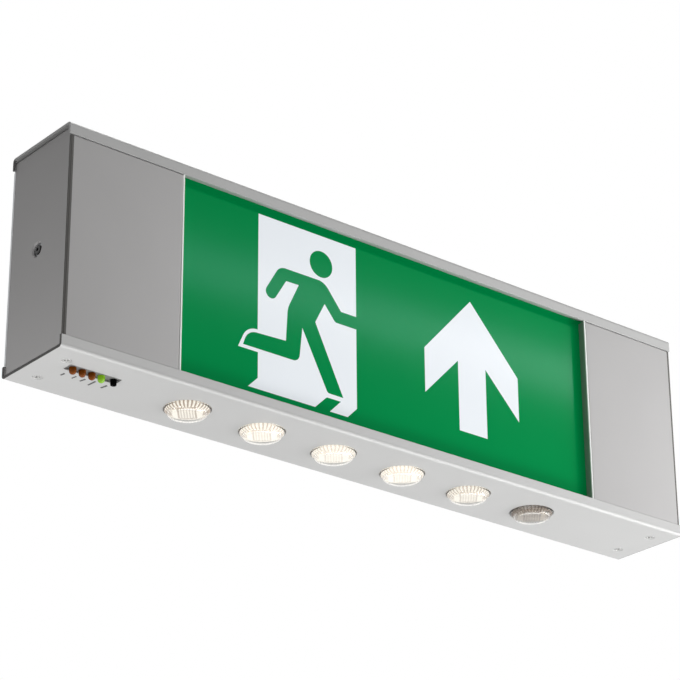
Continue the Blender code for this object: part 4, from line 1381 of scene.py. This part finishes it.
@dataclass
class Studio:
    """Pale floor, white surroundings, soft lamps and the camera."""

    floor_depth: float = 2.6
    floor_half: float = 3.0
    floor_grey: float = 0.86
    floor_roughness: float = 0.9
    floor_glow: float = 0.88
    ambient: float = 0.08
    lamps: tuple[Lamp, ...] = (
        Lamp("key", place=(0.85, -0.70, -0.30), aim=(0.24, 0, -0.03), width=0.5, height=0.5, power=4.2),
        Lamp("low_fill", place=(0.25, 0.12, -1.2), aim=(0.05, 0, 0), width=1.2, height=0.8, power=7.2),
        Lamp(
            "band", place=(0.7, -0.89, 0.524), aim=(0, -0.06, 0.02), width=1.4, height=0.04, power=4.9,
            along=(0.98, 0.19, -0.07),
        ),
        Lamp("edge", place=(0.70, -0.50, -0.80), aim=(0, -0.07, -0.08), width=1.6, height=0.25, power=10.0),
        Lamp(
            "left_low", place=(-0.53, -0.035, -0.31), aim=(-0.29, -0.035, -0.04), width=0.12, height=0.12,
            power=0.50,
        ),
        Lamp("above", place=(0.0, 0.10, 1.5), aim=(0, 0.1, 0), width=1.2, height=0.8, power=14.0),
    )

    # Camera of the photograph, in metres and degrees
    eye: tuple[float, float, float] = (-1.10875, -1.35051, -0.76668)
    target: tuple[float, float, float] = (-0.05350, -0.06990, -0.01207)
    roll: float = -0.3647
    lens: float = 134.730
    nearest: float = 0.01

    def build(self) -> None:
        """Builds the studio."""
        self._build_floor()
        self._build_world()
        for lamp in self.lamps:
            lamp.build()
        self._build_camera()
        bpy.context.scene.view_settings.view_transform = "Standard"

    def _seen(self, graph: Graph) -> NodeSocket:
        """Tells the rays of the eye, of gloss and of glass from the rest.

        Args:
            graph: The graph to add the nodes to.

        Returns:
            One for those rays, and zero for the rest.
        """
        path = graph.add("ShaderNodeLightPath")
        seen = graph.maths("MAXIMUM", path.outputs["Is Camera Ray"], path.outputs["Is Glossy Ray"])
        return graph.maths("MAXIMUM", seen, path.outputs["Is Transmission Ray"])

    def _build_floor(self) -> None:
        """Adds the floor, well below the light."""
        half = self.floor_half
        corners = [Vector((x, y, -self.floor_depth)) for x, y in (
            (-half, -half), (half, -half), (half, half), (-half, half),
        )]
        shell = bmesh.new()
        shell.faces.new([shell.verts.new(corner) for corner in corners])
        floor = as_object("studio_floor", shell)
        material = bpy.data.materials.new("floor_paint")
        material.use_nodes = True
        graph = Graph(material.node_tree)
        paint = graph.add("ShaderNodeBsdfPrincipled", {
            "Base Color": (self.floor_grey, self.floor_grey, self.floor_grey, 1.0),
            "Roughness": self.floor_roughness,
            "Emission Color": (1.0, 1.0, 1.0, 1.0),
            "Emission Strength": graph.maths("MULTIPLY", self._seen(graph), self.floor_glow),
        })
        graph.add("ShaderNodeOutputMaterial", {"Surface": paint.outputs[0]})
        floor.data.materials.append(material)

    def _build_world(self) -> None:
        """Makes the surroundings white to the eye, gloss and glass, and softer as a light."""
        world = bpy.data.worlds.new("studio_world")
        bpy.context.scene.world = world
        world.use_nodes = True
        graph = Graph(world.node_tree)
        strength = graph.maths("MULTIPLY_ADD", self._seen(graph), 1.0 - self.ambient, self.ambient)
        back = graph.add("ShaderNodeBackground", {"Color": (1, 1, 1, 1), "Strength": strength})
        graph.add("ShaderNodeOutputWorld", {"Surface": back.outputs[0]})

    def _build_camera(self) -> None:
        """Adds the camera at the photograph's viewpoint."""
        data = bpy.data.cameras.new("camera")
        data.lens = self.lens
        data.clip_start = self.nearest
        camera = bpy.data.objects.new("camera", data)
        bpy.context.scene.collection.objects.link(camera)
        view = (Vector(self.target) - Vector(self.eye)).to_track_quat("-Z", "Y").to_matrix().to_4x4()
        roll = Matrix.Rotation(math.radians(self.roll), 4, "Z")
        camera.matrix_world = Matrix.Translation(self.eye) @ view @ roll
        bpy.context.scene.camera = camera


def main() -> None:
    """Builds the light's looks and the studio, in order."""
    logging.basicConfig(level=logging.INFO, format="%(name)s: %(message)s")
    Studio().build()
    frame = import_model()
    nodes = frame["nodes"]
    half_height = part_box("top_rail")[1].z
    palette = Palette(Effects(), half_height)
    for assembly in (Housing, BlankPanels, RailScrews, ExitSign, LensRow, LampSlot, InnerParts):
        assembly(palette, nodes).build()


if __name__ == "__main__":
    main()
